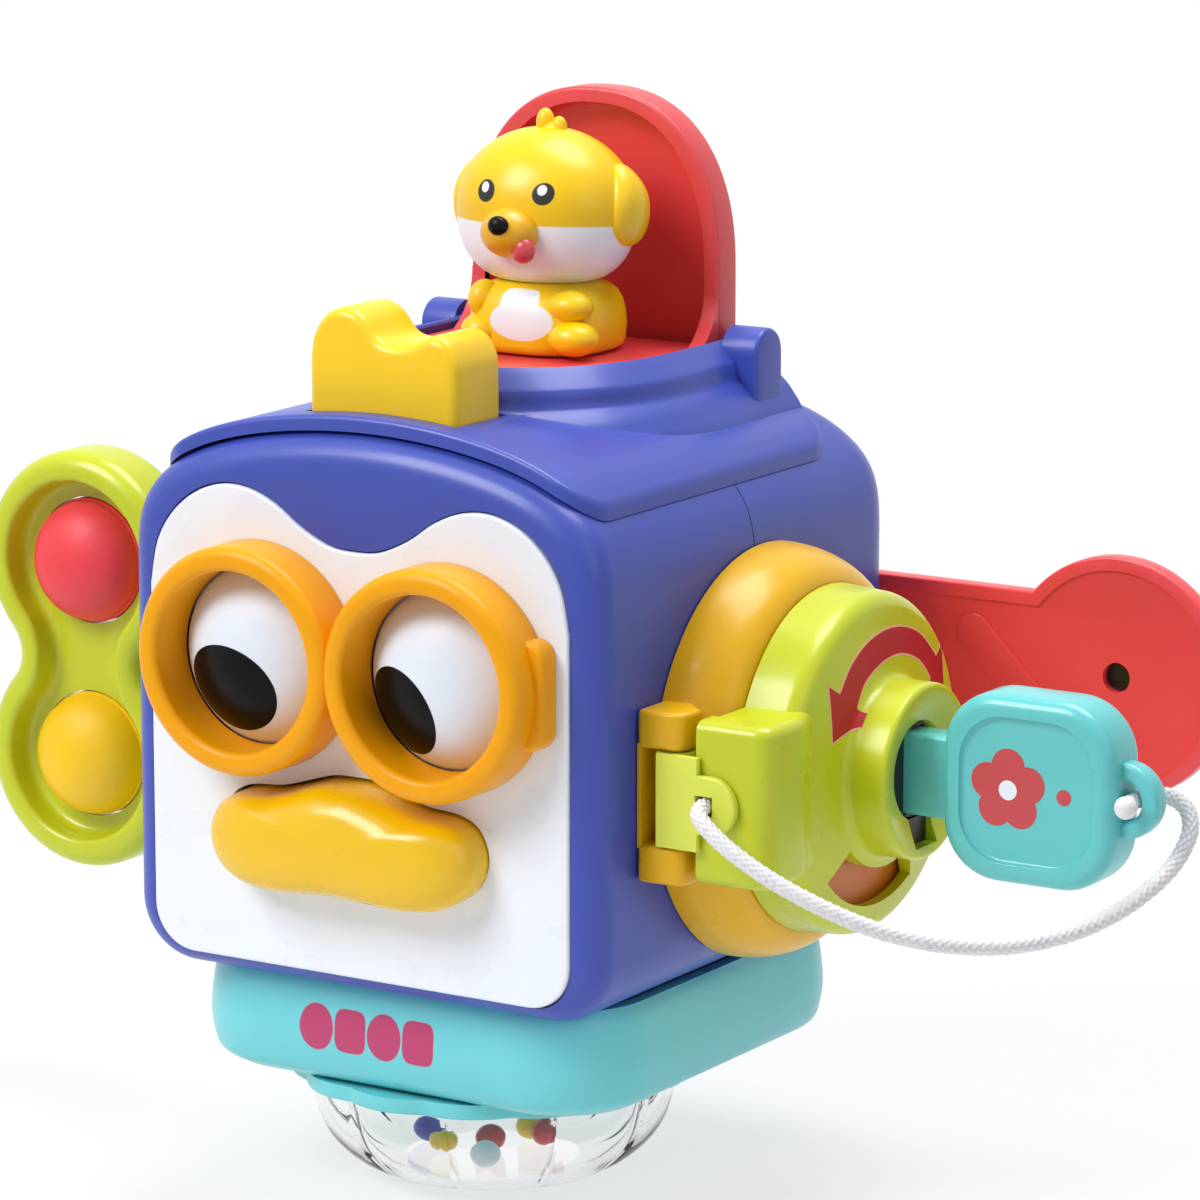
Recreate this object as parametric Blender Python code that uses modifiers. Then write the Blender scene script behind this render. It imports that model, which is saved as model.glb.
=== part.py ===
"""Toddler activity cube: a hollow blue cube body with a face, a pop-up lid with a puppy,
a lock door with a key on a cord, a wind-up bubble handle, a rear flap and a rattle foot.
Metres, +Z up, the front of the cube looks along -Y, z = 0 is the table under the rattle foot."""
import math

import bmesh
import bpy
from mathutils import Matrix, Vector

# Running clearances
gap = 0.0003
slide_gap = 0.0005
overrun = 0.002

# Blue body
cube_width = 0.119
cube_depth = 0.1244
body_floor_z = 0.050
body_side_height = 0.0854
crown_rise = 0.034
crown_run_power = 1.9
crown_rise_power = 3.4
bottom_corner = 0.014
front_edge = 0.007
rear_edge = 0.012
wall = 0.003
front_wall = 0.0045

# Screw posts between the two shells
post_inset = 0.0110
post_low_rise = 0.0069
post_high_rise = 0.0039
post_radius = 0.004
screw_head_radius = 0.0027
screw_head_height = 0.002
screw_radius = 0.0012
screw_seat_y = 0.008
screw_reach = 0.010

# White face plate
plate_side_inset = 0.0069
plate_rise = 0.0038
plate_lobe_drop = 0.0020
plate_lobe_rise = 0.0230
plate_corner = 0.010
plate_thickness = 0.002
plate_proud = 0.0003
# Right half of the plate's top edge, centre to side, as shares of half width and of lobe rise
plate_lobe_shares = [(0.0, 0.513), (0.12, 0.54), (0.255, 0.678), (0.38, 0.87), (0.51, 0.987),
                     (0.645, 1.0), (0.78, 0.89), (0.893, 0.674), (0.966, 0.39), (1.0, 0.0)]

# Eyes and glasses
eye_half_spacing = 0.0237
eye_drop = 0.0142
eye_radius = 0.021
eye_setback = 0.0132
eye_hole_radius = 0.0203
plate_hole_radius = 0.0180
ring_outer = 0.0245
ring_inner = 0.0193
ring_depth = 0.0119
ring_round = 0.0022
temple_half_height = 0.0115
temple_rise = -0.0003
temple_reach = 0.0500
temple_depth = 0.0055
trunnion_radius = 0.0015
trunnion_reach = 0.0024
pupil_radius = 0.0092
pupil_thickness = 0.0014
gaze_pitch = math.radians(-17.0)
left_gaze_yaw = math.radians(-7.6)
right_gaze_yaw = math.radians(-28.0)
carrier_side_inset = 0.0160
carrier_thickness = 0.0024
carrier_play = 0.0006
carrier_back_play = 0.0008
carrier_drop = 0.0485

# Beak button
beak_half_width = 0.0332
beak_half_height = 0.0122
beak_drop = 0.0504
beak_reach = 0.0135
beak_flange = 0.0015
beak_travel = 0.0035
beak_ridge_drop = 0.0010
# Outline of the beak, clockwise from its left end, as shares of half width and half height
beak_shares = [(-1.0, -0.05), (-0.93, 0.42), (-0.78, 0.62), (-0.55, 0.68), (-0.34, 0.84), (-0.16, 0.98),
               (0.0, 1.0), (0.16, 0.98), (0.34, 0.84), (0.55, 0.68), (0.78, 0.62), (0.93, 0.42),
               (1.0, -0.05), (0.94, -0.55), (0.78, -0.86), (0.55, -0.97), (0.28, -0.94), (0.0, -0.90),
               (-0.28, -0.94), (-0.55, -0.97), (-0.78, -0.86), (-0.94, -0.55)]
# Swell of the beak in front of the plate: share of its reach and share of its outline
beak_swell_shares = [(0.22, 1.0), (0.48, 0.99), (0.72, 0.91), (0.90, 0.71), (0.985, 0.41)]
squeaker_radius = 0.007
squeaker_waist = 0.0055
squeaker_ribs = 3

# Top cap, collar and mouth of the pop-up
cap_side_inset = 0.0050
cap_front_inset = 0.0037
cap_rear_inset = 0.0192
cap_corner = 0.009
cap_lip = 0.0033
cap_edge_round = 0.0008
hinge_inset = 0.0317
hinge_rise = 0.0395
lid_side_inset = 0.0275
lid_front_inset = 0.0337
lid_straight = 0.0195
lid_power = 2.3
lid_depth = 0.008
lid_rim = 0.0036
lid_back = 0.002
lid_floor = 0.003
lid_floor_lift = 0.0005
lid_gusset_height = 0.0125
lid_gusset_run = 0.0150
barrel_radius = 0.0032
barrel_split = 0.0065
lid_pin_radius = 0.0012
mouth_play = 0.0006
# Collar steps: how far each stands out from the mouth and its drop below the collar's top
collar_height = 0.0450
collar_steps = [(0.0125, 0.0150), (0.0098, 0.0128), (0.0072, 0.0108), (0.0060, 0.0085),
                (0.0056, 0.0046), (0.0014, 0.0004), (0.0009, 0.0)]
collar_rear_limit = 0.0038
collar_front_inset = 0.0289
mouth_skirt = 0.0013
mouth_skirt_drop = 0.0151
ear_reach = 0.0072
ear_thickness = 0.0045
ear_front_y = 0.0270
ear_rear_y = 0.0380
ear_rise = 0.0030
ear_foot = 0.0140

# Well for the pop-up
well_wall = 0.0016
well_play = 0.0012
well_rear_play = 0.0009
well_drop = 0.0154

# Crown button, an extruded tuft
crest_width = 0.0374
crest_depth = 0.0176
crest_inset = 0.0188
crest_height = 0.0225
crest_skirt = 0.0030
crest_edge = 0.0022
crest_travel = 0.006
crest_flange = 0.0018
crest_flange_thickness = 0.0018
crest_stem_radius = 0.003
crest_stem_length = 0.0125
# Outline of the tuft over the cap, left to right, as shares of its width and height
crest_shares = [(-0.5, 0.52), (-0.475, 0.73), (-0.39, 0.925), (-0.26, 1.0), (-0.14, 0.925),
                (-0.04, 0.74), (0.075, 0.605), (0.19, 0.68), (0.325, 0.80), (0.43, 0.74),
                (0.49, 0.585), (0.5, 0.44)]
spring_wire = 0.0004
crest_spring_radius = 0.0046
crest_spring_turns = 5
lid_spring_radius = 0.0019
lid_spring_turns = 4

# Puppy
head_half_width = 0.0205
head_half_depth = 0.0170
head_half_height = 0.0173
head_setback = 0.0189
head_rise = 0.0343
torso_half_width = 0.0163
torso_half_depth = 0.0150
torso_height = 0.0185
torso_setback = 0.0200
snout_radius = 0.0068
tuft_radius = 0.0024
dog_ear_radius = 0.0085

# Round lock on the right side and the wind-up handle on the left, on one axis
side_axis_y = 0.003
side_axis_rise = 0.0481
lock_flange_radius = 0.0446
lock_flange_depth = 0.0150
lock_bore_radius = 0.0345
pocket_wall = 0.002
pocket_depth = 0.0155
bracket_front_y = -0.0485
bracket_half_height = 0.0182
bracket_reach = 0.0112
bracket_arm = 0.0080
bracket_back = 0.0010
door_pin_reach = 0.0072
door_pin_y = -0.0440
door_pin_radius = 0.0013
door_knuckle_radius = 0.0040
door_back_radius = 0.0372
door_front_radius = 0.0363
door_thickness = 0.0126
door_round = 0.0040
door_dome = 0.0030
door_wall = 0.0026
hub_radius = 0.0188
hub_length = 0.0095
keyhole_radius = 0.0104
keyhole_depth = 0.0070
keyslot_half_width = 0.0045
keyslot_drop = 0.0160
block_reach = 0.0175
block_front_y = -0.0470
block_rear_y = -0.0300
block_half_height = 0.0171
block_lead = 0.0015
block_lead_y = -0.0405
block_round = 0.0045
tab_length = 0.0088
tab_half_height = 0.0062
tab_thickness = 0.0016
cord_hole = 0.0042
window_inner = 0.0215
window_outer = 0.0300
window_start = math.radians(-135.0)
window_end = math.radians(-62.0)
disc_radius = 0.0325
disc_thickness = 0.0016
rotor_radius = 0.0100
tongue_reach = 0.0338
tongue_half_width = 0.0040

# Key
key_half_height = 0.0088
key_half_thickness = 0.0040
key_insert = 0.0130
key_shank = 0.0130
key_head = 0.0400
key_head_thickness = 0.0140
key_head_corner = 0.0125
key_head_edge = 0.0022
key_panel_inset = 0.0045
key_panel_depth = 0.0010
key_loop_radius = 0.0062
key_loop_wire = 0.0019

# Cord
cord_radius = 0.0018
knot_radius = 0.0027
# Cord, from the tab's hole in a sagging sweep to the key's loop
cord_route = [(0.0765, -0.0455, 0.0981), (0.0766, -0.0500, 0.0979), (0.0785, -0.0530, 0.0962),
              (0.0850, -0.0535, 0.0915),
              (0.0940, -0.0520, 0.0860), (0.1040, -0.0480, 0.0805), (0.1140, -0.0420, 0.0757),
              (0.1240, -0.0340, 0.0725), (0.1335, -0.0240, 0.0712), (0.1420, -0.0135, 0.0725),
              (0.1492, -0.0035, 0.0765), (0.1548, 0.0055, 0.0830), (0.1572, 0.0105, 0.0900),
              (0.1557, 0.0128, 0.0948), (0.1522, 0.0122, 0.0974), (0.1492, 0.0090, 0.0981),
              (0.1487, 0.0050, 0.0981), (0.1488, 0.0005, 0.0981), (0.1499, -0.0042, 0.0981)]

# Wind-up handle
bow_reach = 0.0580
bow_half_spacing = 0.0226
bow_radius = 0.0258
bow_waist = 0.0172
bow_thickness = 0.0170
bow_edge = 0.0045
bow_rim = 0.0068
bow_web = 0.0030
bubble_radius = 0.0144
bubble_wall = 0.0012
bubble_height_share = 0.72
bubble_travel = 0.006
bow_stem_radius = 0.0044
bush_flange_radius = 0.0085
bush_flange_thickness = 0.0015
bush_radius = 0.0066
bush_length = 0.0090
ratchet_radius = 0.0092
ratchet_depth = 0.0010
ratchet_teeth = 12
ratchet_width = 0.0040
click_leaf = 0.0006

# Rear flap
flap_axis_inset = 0.0105
flap_axis_reach = 0.0034
flap_center_reach = 0.0640
flap_center_rise = 0.0586
flap_radius = 0.0266
flap_arm_half_height = 0.0169
flap_thickness = 0.0044
flap_knuckle_radius = 0.0029
flap_knuckle_half = 0.0085
flap_rim = 0.0030
flap_recess = 0.0006
flap_hole_radius = 0.0029
flap_hole_depth = 0.0028
flap_pin_radius = 0.0011
flap_bar_radius = 0.0042
flap_bar_run = 0.0150

# Base tray
tray_side_inset = 0.0050
tray_end_inset = 0.0072
tray_corner = 0.0220
tray_height = 0.0233
tray_wall = 0.0025
# Tray side from the underside up: inset and share of the tray's height
tray_side_insets = [0.0055, 0.0018, 0.0004, 0.0, 0.0010, 0.0026]
tray_side_shares = [0.0, 0.10, 0.28, 0.50, 0.85, 1.0]
tray_post_inset = 0.0165
tray_screw_reach = 0.0080

# Rattle foot
rattle_y = -0.0110
dome_radius = 0.0407
dome_height = 0.0240
dome_wall = 0.0014
dome_lobes = 10
dome_groove_share = 0.055
foot_radius = 0.0200
# Dome outline from the rim down: share of the way from foot radius to dome radius, share of height
dome_shares = [(1.0, 1.0), (0.965, 0.74), (0.86, 0.49), (0.66, 0.27), (0.38, 0.10), (0.0, 0.0)]
rattle_ring_radius = 0.0440
rattle_ring_scallop = 0.0010
rattle_ring_scallops = 14
rattle_ring_height = 0.0034
rattle_disc = 0.0018
axle_radius = 0.0020
axle_head_radius = 0.0042
axle_head_height = 0.0018
axle_length = 0.0160
axle_boss = 0.0052
bead_radius = 0.0034
# Where the beads lie on the dome's floor, as shares of the foot radius from its centre
bead_shares = [(0.42, 0.55), (-0.92, -0.05), (-0.47, -0.39), (-0.05, 0.02), (0.10, 0.70), (0.30, -0.62)]

# Levels and places that follow from the sizes above
half_width = cube_width / 2
half_depth = cube_depth / 2
side_top_z = body_floor_z + body_side_height
front_y = -half_depth
post_x = half_width - post_inset
post_levels = (body_floor_z + post_low_rise, side_top_z + post_high_rise)
plate_front_y = front_y - plate_proud
plate_half_width = half_width - plate_side_inset
plate_lobe_base = side_top_z - plate_lobe_drop
eye_z = side_top_z - eye_drop
eye_y = front_y + eye_setback
beak_z = side_top_z - beak_drop
side_axis_z = body_floor_z + side_axis_rise
cap_half_width = half_width - cap_side_inset
cap_front_y = front_y + cap_front_inset
cap_rear_y = half_depth - cap_rear_inset
carrier_half_width = half_width - carrier_side_inset
lid_half_width = half_width - lid_side_inset
ear_inner_x = lid_half_width + ear_reach
hinge_y = half_depth - hinge_inset
hinge_z = side_top_z + hinge_rise
lid_length = hinge_y - front_y - lid_front_inset
collar_z = side_top_z + collar_height
collar_front_y = front_y + collar_front_inset
crest_center_y = front_y + crest_inset
head_y = hinge_y - head_setback
torso_y = hinge_y - torso_setback
door_pin_x = half_width + gap + door_pin_reach
bow_x = -half_width - bow_reach
flap_axis_x = half_width - flap_axis_inset
flap_axis_y = half_depth + flap_axis_reach
flap_center_x = flap_axis_x + flap_center_reach
flap_z = body_floor_z + flap_center_rise
lid_floor_top = hinge_z + lid_floor_lift + lid_floor
door_back_x = half_width + gap + lock_flange_depth + gap
door_front_x = door_back_x + door_thickness + door_dome
hub_front_x = door_front_x + hub_length
key_head_x = hub_front_x + key_shank / 2
tray_bottom_z = body_floor_z - gap - tray_height
tray_half_width = half_width - tray_side_inset
tray_half_depth = half_depth - tray_end_inset
tray_post = tray_half_width - tray_post_inset

# Colours, sRGB
BLUE = "#3340A0"
WHITE = "#F4F5F6"
ORANGE = "#F9A51E"
YELLOW = "#F9CE1B"
RED = "#E8464C"
LIME = "#C5D93A"
PALE_LIME = "#DCEB55"
TEAL = "#6FD3D2"
BLACK = "#141414"
CLEAR = "#EAF2F4"
STEEL = "#B9BDC2"
CORD_WHITE = "#F2F2F2"

parts = bpy.data.collections.new("activity_cube")
cutters = bpy.data.collections.new("cutters")


def clear_scene():
    for old in list(bpy.data.objects):
        bpy.data.objects.remove(old, do_unlink=True)
    bpy.context.scene.collection.children.link(parts)
    bpy.context.scene.collection.children.link(cutters)


def linear(channel):
    value = channel / 255
    return value / 12.92 if value <= 0.04045 else ((value + 0.055) / 1.055) ** 2.4


def paint(part, colour, roughness=0.35, metallic=0.0):
    """Give a part its own Principled material."""
    material = bpy.data.materials.new(part.name + "_finish")
    material.use_nodes = True
    shader = material.node_tree.nodes["Principled BSDF"]
    red, green, blue = (linear(int(colour[at:at + 2], 16)) for at in (1, 3, 5))
    shader.inputs["Base Color"].default_value = (red, green, blue, 1.0)
    shader.inputs["Roughness"].default_value = roughness
    shader.inputs["Metallic"].default_value = metallic
    part.data.materials.clear()
    part.data.materials.append(material)


def mesh_object(name, form, place=None):
    """Store a bmesh as an object among the cutters; a finished part moves on with finish()."""
    if place is not None:
        bmesh.ops.transform(form, matrix=place, verts=form.verts)
    bmesh.ops.recalc_face_normals(form, faces=form.faces)
    mesh = bpy.data.meshes.new(name)
    form.to_mesh(mesh)
    form.free()
    item = bpy.data.objects.new(name, mesh)
    item.hide_render = True
    item.display_type = "WIRE"
    cutters.objects.link(item)
    return item


def settle(item):
    """Replace an object's mesh with what its modifiers make, doubles merged."""
    depsgraph = bpy.context.evaluated_depsgraph_get()
    mesh = bpy.data.meshes.new_from_object(item.evaluated_get(depsgraph))
    form = bmesh.new()
    form.from_mesh(mesh)
    bmesh.ops.remove_doubles(form, verts=form.verts, dist=gap / 300)
    bmesh.ops.dissolve_degenerate(form, edges=form.edges, dist=gap / 300)
    form.to_mesh(mesh)
    form.free()
    item.modifiers.clear()
    item.data = mesh


def finish(item, colour, origin=(0.0, 0.0, 0.0), roughness=0.35, metallic=0.0, smooth=35.0):
    """Bake a part, put its origin where it turns or slides, and move it to the parts."""
    settle(item)
    item.data.transform(Matrix.Translation(-Vector(origin)))
    item.location = origin
    item.data.shade_smooth()
    item.data.set_sharp_from_angle(angle=math.radians(smooth))
    paint(item, colour, roughness, metallic)
    item.hide_render = False
    item.display_type = "TEXTURED"
    cutters.objects.unlink(item)
    parts.objects.link(item)
    return item


def boolean(item, other, operation):
    step = item.modifiers.new(other.name, "BOOLEAN")
    step.operation = operation
    step.object = other
    step.solver = "EXACT"


def cut(item, *others):
    for other in others:
        boolean(item, other, "DIFFERENCE")


def join(item, *others):
    for other in others:
        boolean(item, other, "UNION")


def box(name, low, high):
    form = bmesh.new()
    bmesh.ops.create_cube(form, size=1.0)
    size = Vector(high) - Vector(low)
    middle = (Vector(high) + Vector(low)) / 2
    place = Matrix.Translation(middle) @ Matrix.Diagonal((*size, 1.0))
    return mesh_object(name, form, place)


def along(axis):
    """Matrix that turns +Z to the named axis."""
    turn = {"X": Matrix.Rotation(math.pi / 2, 4, "Y"), "Y": Matrix.Rotation(-math.pi / 2, 4, "X"),
            "Z": Matrix.Identity(4)}
    return turn[axis]


def rod(name, radius, start, end, segments=16):
    """Round bar between two points, flat ends."""
    start = Vector(start)
    run = Vector(end) - start
    form = bmesh.new()
    bmesh.ops.create_cone(form, cap_ends=True, segments=segments, radius1=radius, radius2=radius,
                          depth=run.length)
    turn = Vector((0, 0, 1)).rotation_difference(run.normalized()).to_matrix().to_4x4()
    return mesh_object(name, form, Matrix.Translation(start + run / 2) @ turn)


def ball(name, center, radii, segments=20, rings=12):
    form = bmesh.new()
    bmesh.ops.create_uvsphere(form, u_segments=segments, v_segments=rings, radius=1.0)
    return mesh_object(name, form, Matrix.Translation(center) @ Matrix.Diagonal((*radii, 1.0)))


def turned(name, profile, center, axis, steps=32, closed=True):
    """Turn a profile of (radius, height) about an axis with a Screw modifier.
    A closed profile makes a ring, an open one starts and ends on the axis."""
    form = bmesh.new()
    corners = [form.verts.new((radius, 0.0, height)) for radius, height in profile]
    for first, second in zip(corners, corners[1:]):
        form.edges.new((first, second))
    if closed:
        form.edges.new((corners[-1], corners[0]))
    mesh = bpy.data.meshes.new(name)
    form.to_mesh(mesh)
    form.free()
    item = bpy.data.objects.new(name, mesh)
    cutters.objects.link(item)
    screw = item.modifiers.new("turn", "SCREW")
    screw.axis = "Z"
    screw.steps = steps
    screw.render_steps = steps
    screw.use_merge_vertices = True
    screw.merge_threshold = gap / 100
    settle(item)
    form = bmesh.new()
    form.from_mesh(item.data)
    bpy.data.objects.remove(item, do_unlink=True)
    return mesh_object(name, form, Matrix.Translation(center) @ along(axis))


def prism(name, outline, low, high, axis):
    """Flat outline, extruded between two levels. On Y the outline is (x, z), on Z (x, y), on X (y, z)."""
    curve = bpy.data.curves.new(name, "CURVE")
    curve.dimensions = "2D"
    curve.fill_mode = "BOTH"
    curve.extrude = (high - low) / 2
    line = curve.splines.new("POLY")
    line.points.add(len(outline) - 1)
    for point, (first, second) in zip(line.points, outline):
        point.co = (first, second, 0.0, 1.0)
    line.use_cyclic_u = True
    item = bpy.data.objects.new(name, curve)
    cutters.objects.link(item)
    depsgraph = bpy.context.evaluated_depsgraph_get()
    mesh = bpy.data.meshes.new_from_object(item.evaluated_get(depsgraph))
    bpy.data.objects.remove(item, do_unlink=True)
    form = bmesh.new()
    form.from_mesh(mesh)
    bmesh.ops.remove_doubles(form, verts=form.verts, dist=gap / 300)
    bmesh.ops.dissolve_limit(form, angle_limit=math.radians(0.5), verts=form.verts, edges=form.edges)
    middle = (high + low) / 2
    frames = {"Z": Matrix.Translation((0, 0, middle)),
              "Y": Matrix.Translation((0, middle, 0)) @ Matrix.Rotation(math.pi / 2, 4, "X"),
              "X": Matrix.Translation((middle, 0, 0)) @ Matrix(((0, 0, 1, 0), (1, 0, 0, 0),
                                                                (0, 1, 0, 0), (0, 0, 0, 1)))}
    return mesh_object(name, form, frames[axis])


def loft(name, sections):
    """Closed skin over like-numbered rings of points, flat at both ends."""
    form = bmesh.new()
    rings = [[form.verts.new(point) for point in section] for section in sections]
    for lower, upper in zip(rings, rings[1:]):
        count = len(lower)
        for at in range(count):
            after = (at + 1) % count
            form.faces.new((lower[at], lower[after], upper[after], upper[at]))
    form.faces.new(rings[0])
    form.faces.new(rings[-1])
    return mesh_object(name, form)


def tube(name, points, radius, resolution=2):
    curve = bpy.data.curves.new(name, "CURVE")
    curve.dimensions = "3D"
    curve.bevel_depth = radius
    curve.bevel_resolution = resolution
    curve.use_fill_caps = True
    line = curve.splines.new("POLY")
    line.points.add(len(points) - 1)
    for point, place in zip(line.points, points):
        point.co = (*place, 1.0)
    item = bpy.data.objects.new(name, curve)
    cutters.objects.link(item)
    settle_curve = bpy.data.meshes.new_from_object(item.evaluated_get(bpy.context.evaluated_depsgraph_get()))
    bpy.data.objects.remove(item, do_unlink=True)
    form = bmesh.new()
    form.from_mesh(settle_curve)
    bmesh.ops.remove_doubles(form, verts=form.verts, dist=gap / 300)
    return mesh_object(name, form)


def bevel(item, width, segments=2, angle=50.0):
    step = item.modifiers.new("edge", "BEVEL")
    step.width = width
    step.segments = segments
    step.limit_method = "ANGLE"
    step.angle_limit = math.radians(angle)


def arc(center, radius, start, end, steps):
    """Points on an arc, angles in degrees."""
    out = []
    for at in range(steps + 1):
        angle = math.radians(start + (end - start) * at / steps)
        out.append((center[0] + radius * math.cos(angle), center[1] + radius * math.sin(angle)))
    return out


def rounded_rectangle(half_x, half_y, corner, center=(0.0, 0.0), steps=4):
    out = []
    for turn, (sign_x, sign_y) in enumerate([(1, 1), (-1, 1), (-1, -1), (1, -1)]):
        middle = (center[0] + sign_x * (half_x - corner), center[1] + sign_y * (half_y - corner))
        out += arc(middle, corner, 90 * turn, 90 * turn + 90, steps)
    return out


def smooth_line(points, closed, pieces=2):
    """Smooth curve through points of any dimension."""
    count = len(points)
    out = []
    spans = count if closed else count - 1
    for at in range(spans):
        nearby = []
        for step in (-1, 0, 1, 2):
            index = (at + step) % count if closed else min(max(at + step, 0), count - 1)
            nearby.append(Vector(points[index]))
        before, start, end, after = nearby
        for piece in range(pieces):
            t = piece / pieces
            curve = (2 * start + (end - before) * t + (2 * before - 5 * start + 4 * end - after) * t ** 2
                     + (3 * start - before - 3 * end + after) * t ** 3) / 2
            out.append(tuple(curve))
    if not closed:
        out.append(tuple(points[-1]))
    return out


def grown(outline, amount):
    """Move a closed outline outwards along its corner normals."""
    count = len(outline)
    area = sum(outline[at][0] * outline[(at + 1) % count][1] - outline[(at + 1) % count][0] * outline[at][1]
               for at in range(count))
    side = 1.0 if area > 0 else -1.0
    out = []
    for at in range(count):
        here = Vector(outline[at])
        before = (here - Vector(outline[at - 1])).normalized()
        after = (Vector(outline[(at + 1) % count]) - here).normalized()
        normal = Vector((before.y + after.y, -before.x - after.x)) * side
        normal.normalize()
        lean = max(normal.dot(Vector((after.y, -after.x)) * side), 0.4)
        out.append(tuple(here + normal * (amount / lean)))
    return out


def cluster(name, items):
    """Several cutters as one object, so that one Boolean takes them all."""
    form = bmesh.new()
    for item in items:
        form.from_mesh(item.data)
        bpy.data.objects.remove(item, do_unlink=True)
    return mesh_object(name, form)


def helix(center, radius, length, turns, axis, per_turn=8):
    """Points of a coil; centre is the middle of its first end."""
    out = []
    for at in range(turns * per_turn + 1):
        angle = 2 * math.pi * at / per_turn
        rise = length * at / (turns * per_turn)
        local = Vector((radius * math.cos(angle), radius * math.sin(angle), rise))
        out.append(tuple(Vector(center) + along(axis).to_3x3() @ local))
    return out


# Blue body

def crown_z(x, inset=0.0):
    """Height of the body's crowned top over x."""
    share = min(abs(x) / (half_width - inset), 1.0)
    return side_top_z + (crown_rise - inset) * (1 - share ** crown_run_power) ** (1 / crown_rise_power)


def body_outline(inset, steps=9):
    wide = half_width - inset
    low = body_floor_z + inset
    corner = bottom_corner - inset
    right = arc((wide - corner, low + corner), corner, -90, 0, 4)
    for at in range(steps + 1):
        rise_share = math.sin(math.pi / 2 * at / steps)
        run_share = (1 - rise_share ** crown_rise_power) ** (1 / crown_run_power)
        right.append((wide * run_share, side_top_z + (crown_rise - inset) * rise_share))
    left = [(-x, z) for x, z in reversed(right[:-1])]
    return right + left


def body_form(name, inset, front_inset, steps=3):
    """The body's outer form, or with insets its inside: one outline, drawn in at both ends."""
    sections = []
    first = front_y + front_inset
    last = half_depth - inset
    for radius, y_at in ((front_edge - inset, lambda r, c: first + r * (1 - c)),
                         (rear_edge - inset, lambda r, c: last - r * (1 - c))):
        ring = []
        for at in range(steps + 1):
            angle = math.pi / 2 * at / steps
            draw = radius * (1 - math.sin(angle))
            y = y_at(radius, math.cos(angle))
            ring.append([(x, y, z) for x, z in body_outline(inset + draw)])
        sections += ring if y_at(0.0, 1.0) == first else ring[::-1]
    return loft(name, sections)


post_places = [(side * post_x, level) for side in (-1, 1) for level in post_levels]
tray_post_places = [(side * tray_post, depth * tray_post) for side in (-1, 1) for depth in (-1, 1)]


def plate_outline():
    low = body_floor_z + plate_rise
    half = [(run * plate_half_width, plate_lobe_base + rise * plate_lobe_rise) for run, rise in plate_lobe_shares]
    top = [(-x, z) for x, z in half[:0:-1]] + half
    top = smooth_line(top, False)
    corner_z = low + plate_corner
    right = arc((plate_half_width - plate_corner, corner_z), plate_corner, 0, -90, 4)
    left = arc((-plate_half_width + plate_corner, corner_z), plate_corner, -90, -180, 4)
    return top + right + left


def beak_outline(grow=0.0):
    points = [(run * beak_half_width, beak_z + rise * beak_half_height) for run, rise in beak_shares]
    return grown(points, grow) if grow else points


def eye_place(side):
    return side * eye_half_spacing, eye_y, eye_z


def eye_cutters(radius, low, high):
    return [rod("eye_hole", radius, (side * eye_half_spacing, low, eye_z),
                (side * eye_half_spacing, high, eye_z), 32) for side in (-1, 1)]


def lid_outline(grow=0.0, steps=8):
    """The lid's arch as (across, up from the hinge)."""
    wide = lid_half_width + grow
    high = lid_length - lid_straight + grow
    right = [(wide, 0.0)]
    for at in range(steps + 1):
        angle = math.pi / 2 * at / steps
        right.append((wide * math.cos(angle) ** (2 / lid_power),
                      lid_straight + high * math.sin(angle) ** (2 / lid_power)))
    return right + [(-x, up) for x, up in reversed(right[:-1])]


def mouth_outline(grow, rear_grow):
    """The pop-up's mouth seen from above: the lid's arch laid forward, square behind the hinge."""
    out = [(x, hinge_y - up) for x, up in lid_outline(mouth_play + grow)]
    rear = hinge_y + lid_depth + mouth_play + rear_grow
    wide = lid_half_width + mouth_play + grow
    return [(wide, rear)] + out + [(-wide, rear)]


def top_opening(name):
    """Opening in the shells' tops for the well and the crown button."""
    wide = lid_half_width + well_play + well_wall + slide_gap
    front = crest_center_y - crest_depth / 2 - crest_flange - slide_gap
    rear = hinge_y + barrel_radius + well_rear_play + well_wall + slide_gap
    return box(name, (-wide, front, side_top_z + crown_rise / 2), (wide, rear, collar_z))


def make_front_shell():
    shell = body_form("front_shell", 0.0, 0.0)
    cut(shell, body_form("front_inside", wall, front_wall),
        box("front_half", (-cube_width, -gap / 2, 0), (cube_width, cube_depth, collar_z)))
    posts = [rod("post", post_radius, (x, front_y + front_wall / 2, z), (x, -gap / 2, z), 12)
             for x, z in post_places]
    join(shell, cluster("front_posts", posts))
    recess_y = plate_front_y + plate_thickness + gap
    recess = prism("plate_recess", grown(plate_outline(), gap), front_y - overrun, recess_y, "Y")
    holes = eye_cutters(eye_hole_radius, front_y, front_y + front_wall + overrun)
    holes.append(prism("beak_hole", beak_outline(slide_gap), front_y, front_y + front_wall + overrun, "Y"))
    for x, z in post_places:
        holes.append(rod("pilot", screw_radius + gap, (x, -screw_reach - gap, z), (x, overrun, z), 10))
    for x, y in tray_post_places:
        if y < 0:
            holes.append(rod("tray_pilot", screw_radius + gap, (x, y, body_floor_z - overrun),
                             (x, y, body_floor_z + wall + overrun), 10))
    cut(shell, recess, cluster("front_holes", holes), top_opening("front_top_opening"),
        side_hole("front_left_hole", -1), side_hole("front_right_hole", 1))
    finish(shell, BLUE, roughness=0.32)


def side_hole(name, side):
    """Round hole in a side wall: the handle's bush on the left, the lock's pocket on the right."""
    radius = bush_radius + gap if side < 0 else lock_bore_radius + pocket_wall + gap
    inner = side * (half_width - wall - overrun)
    outer = side * (half_width + overrun)
    return rod(name, radius, (inner, side_axis_y, side_axis_z), (outer, side_axis_y, side_axis_z), 32)


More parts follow.
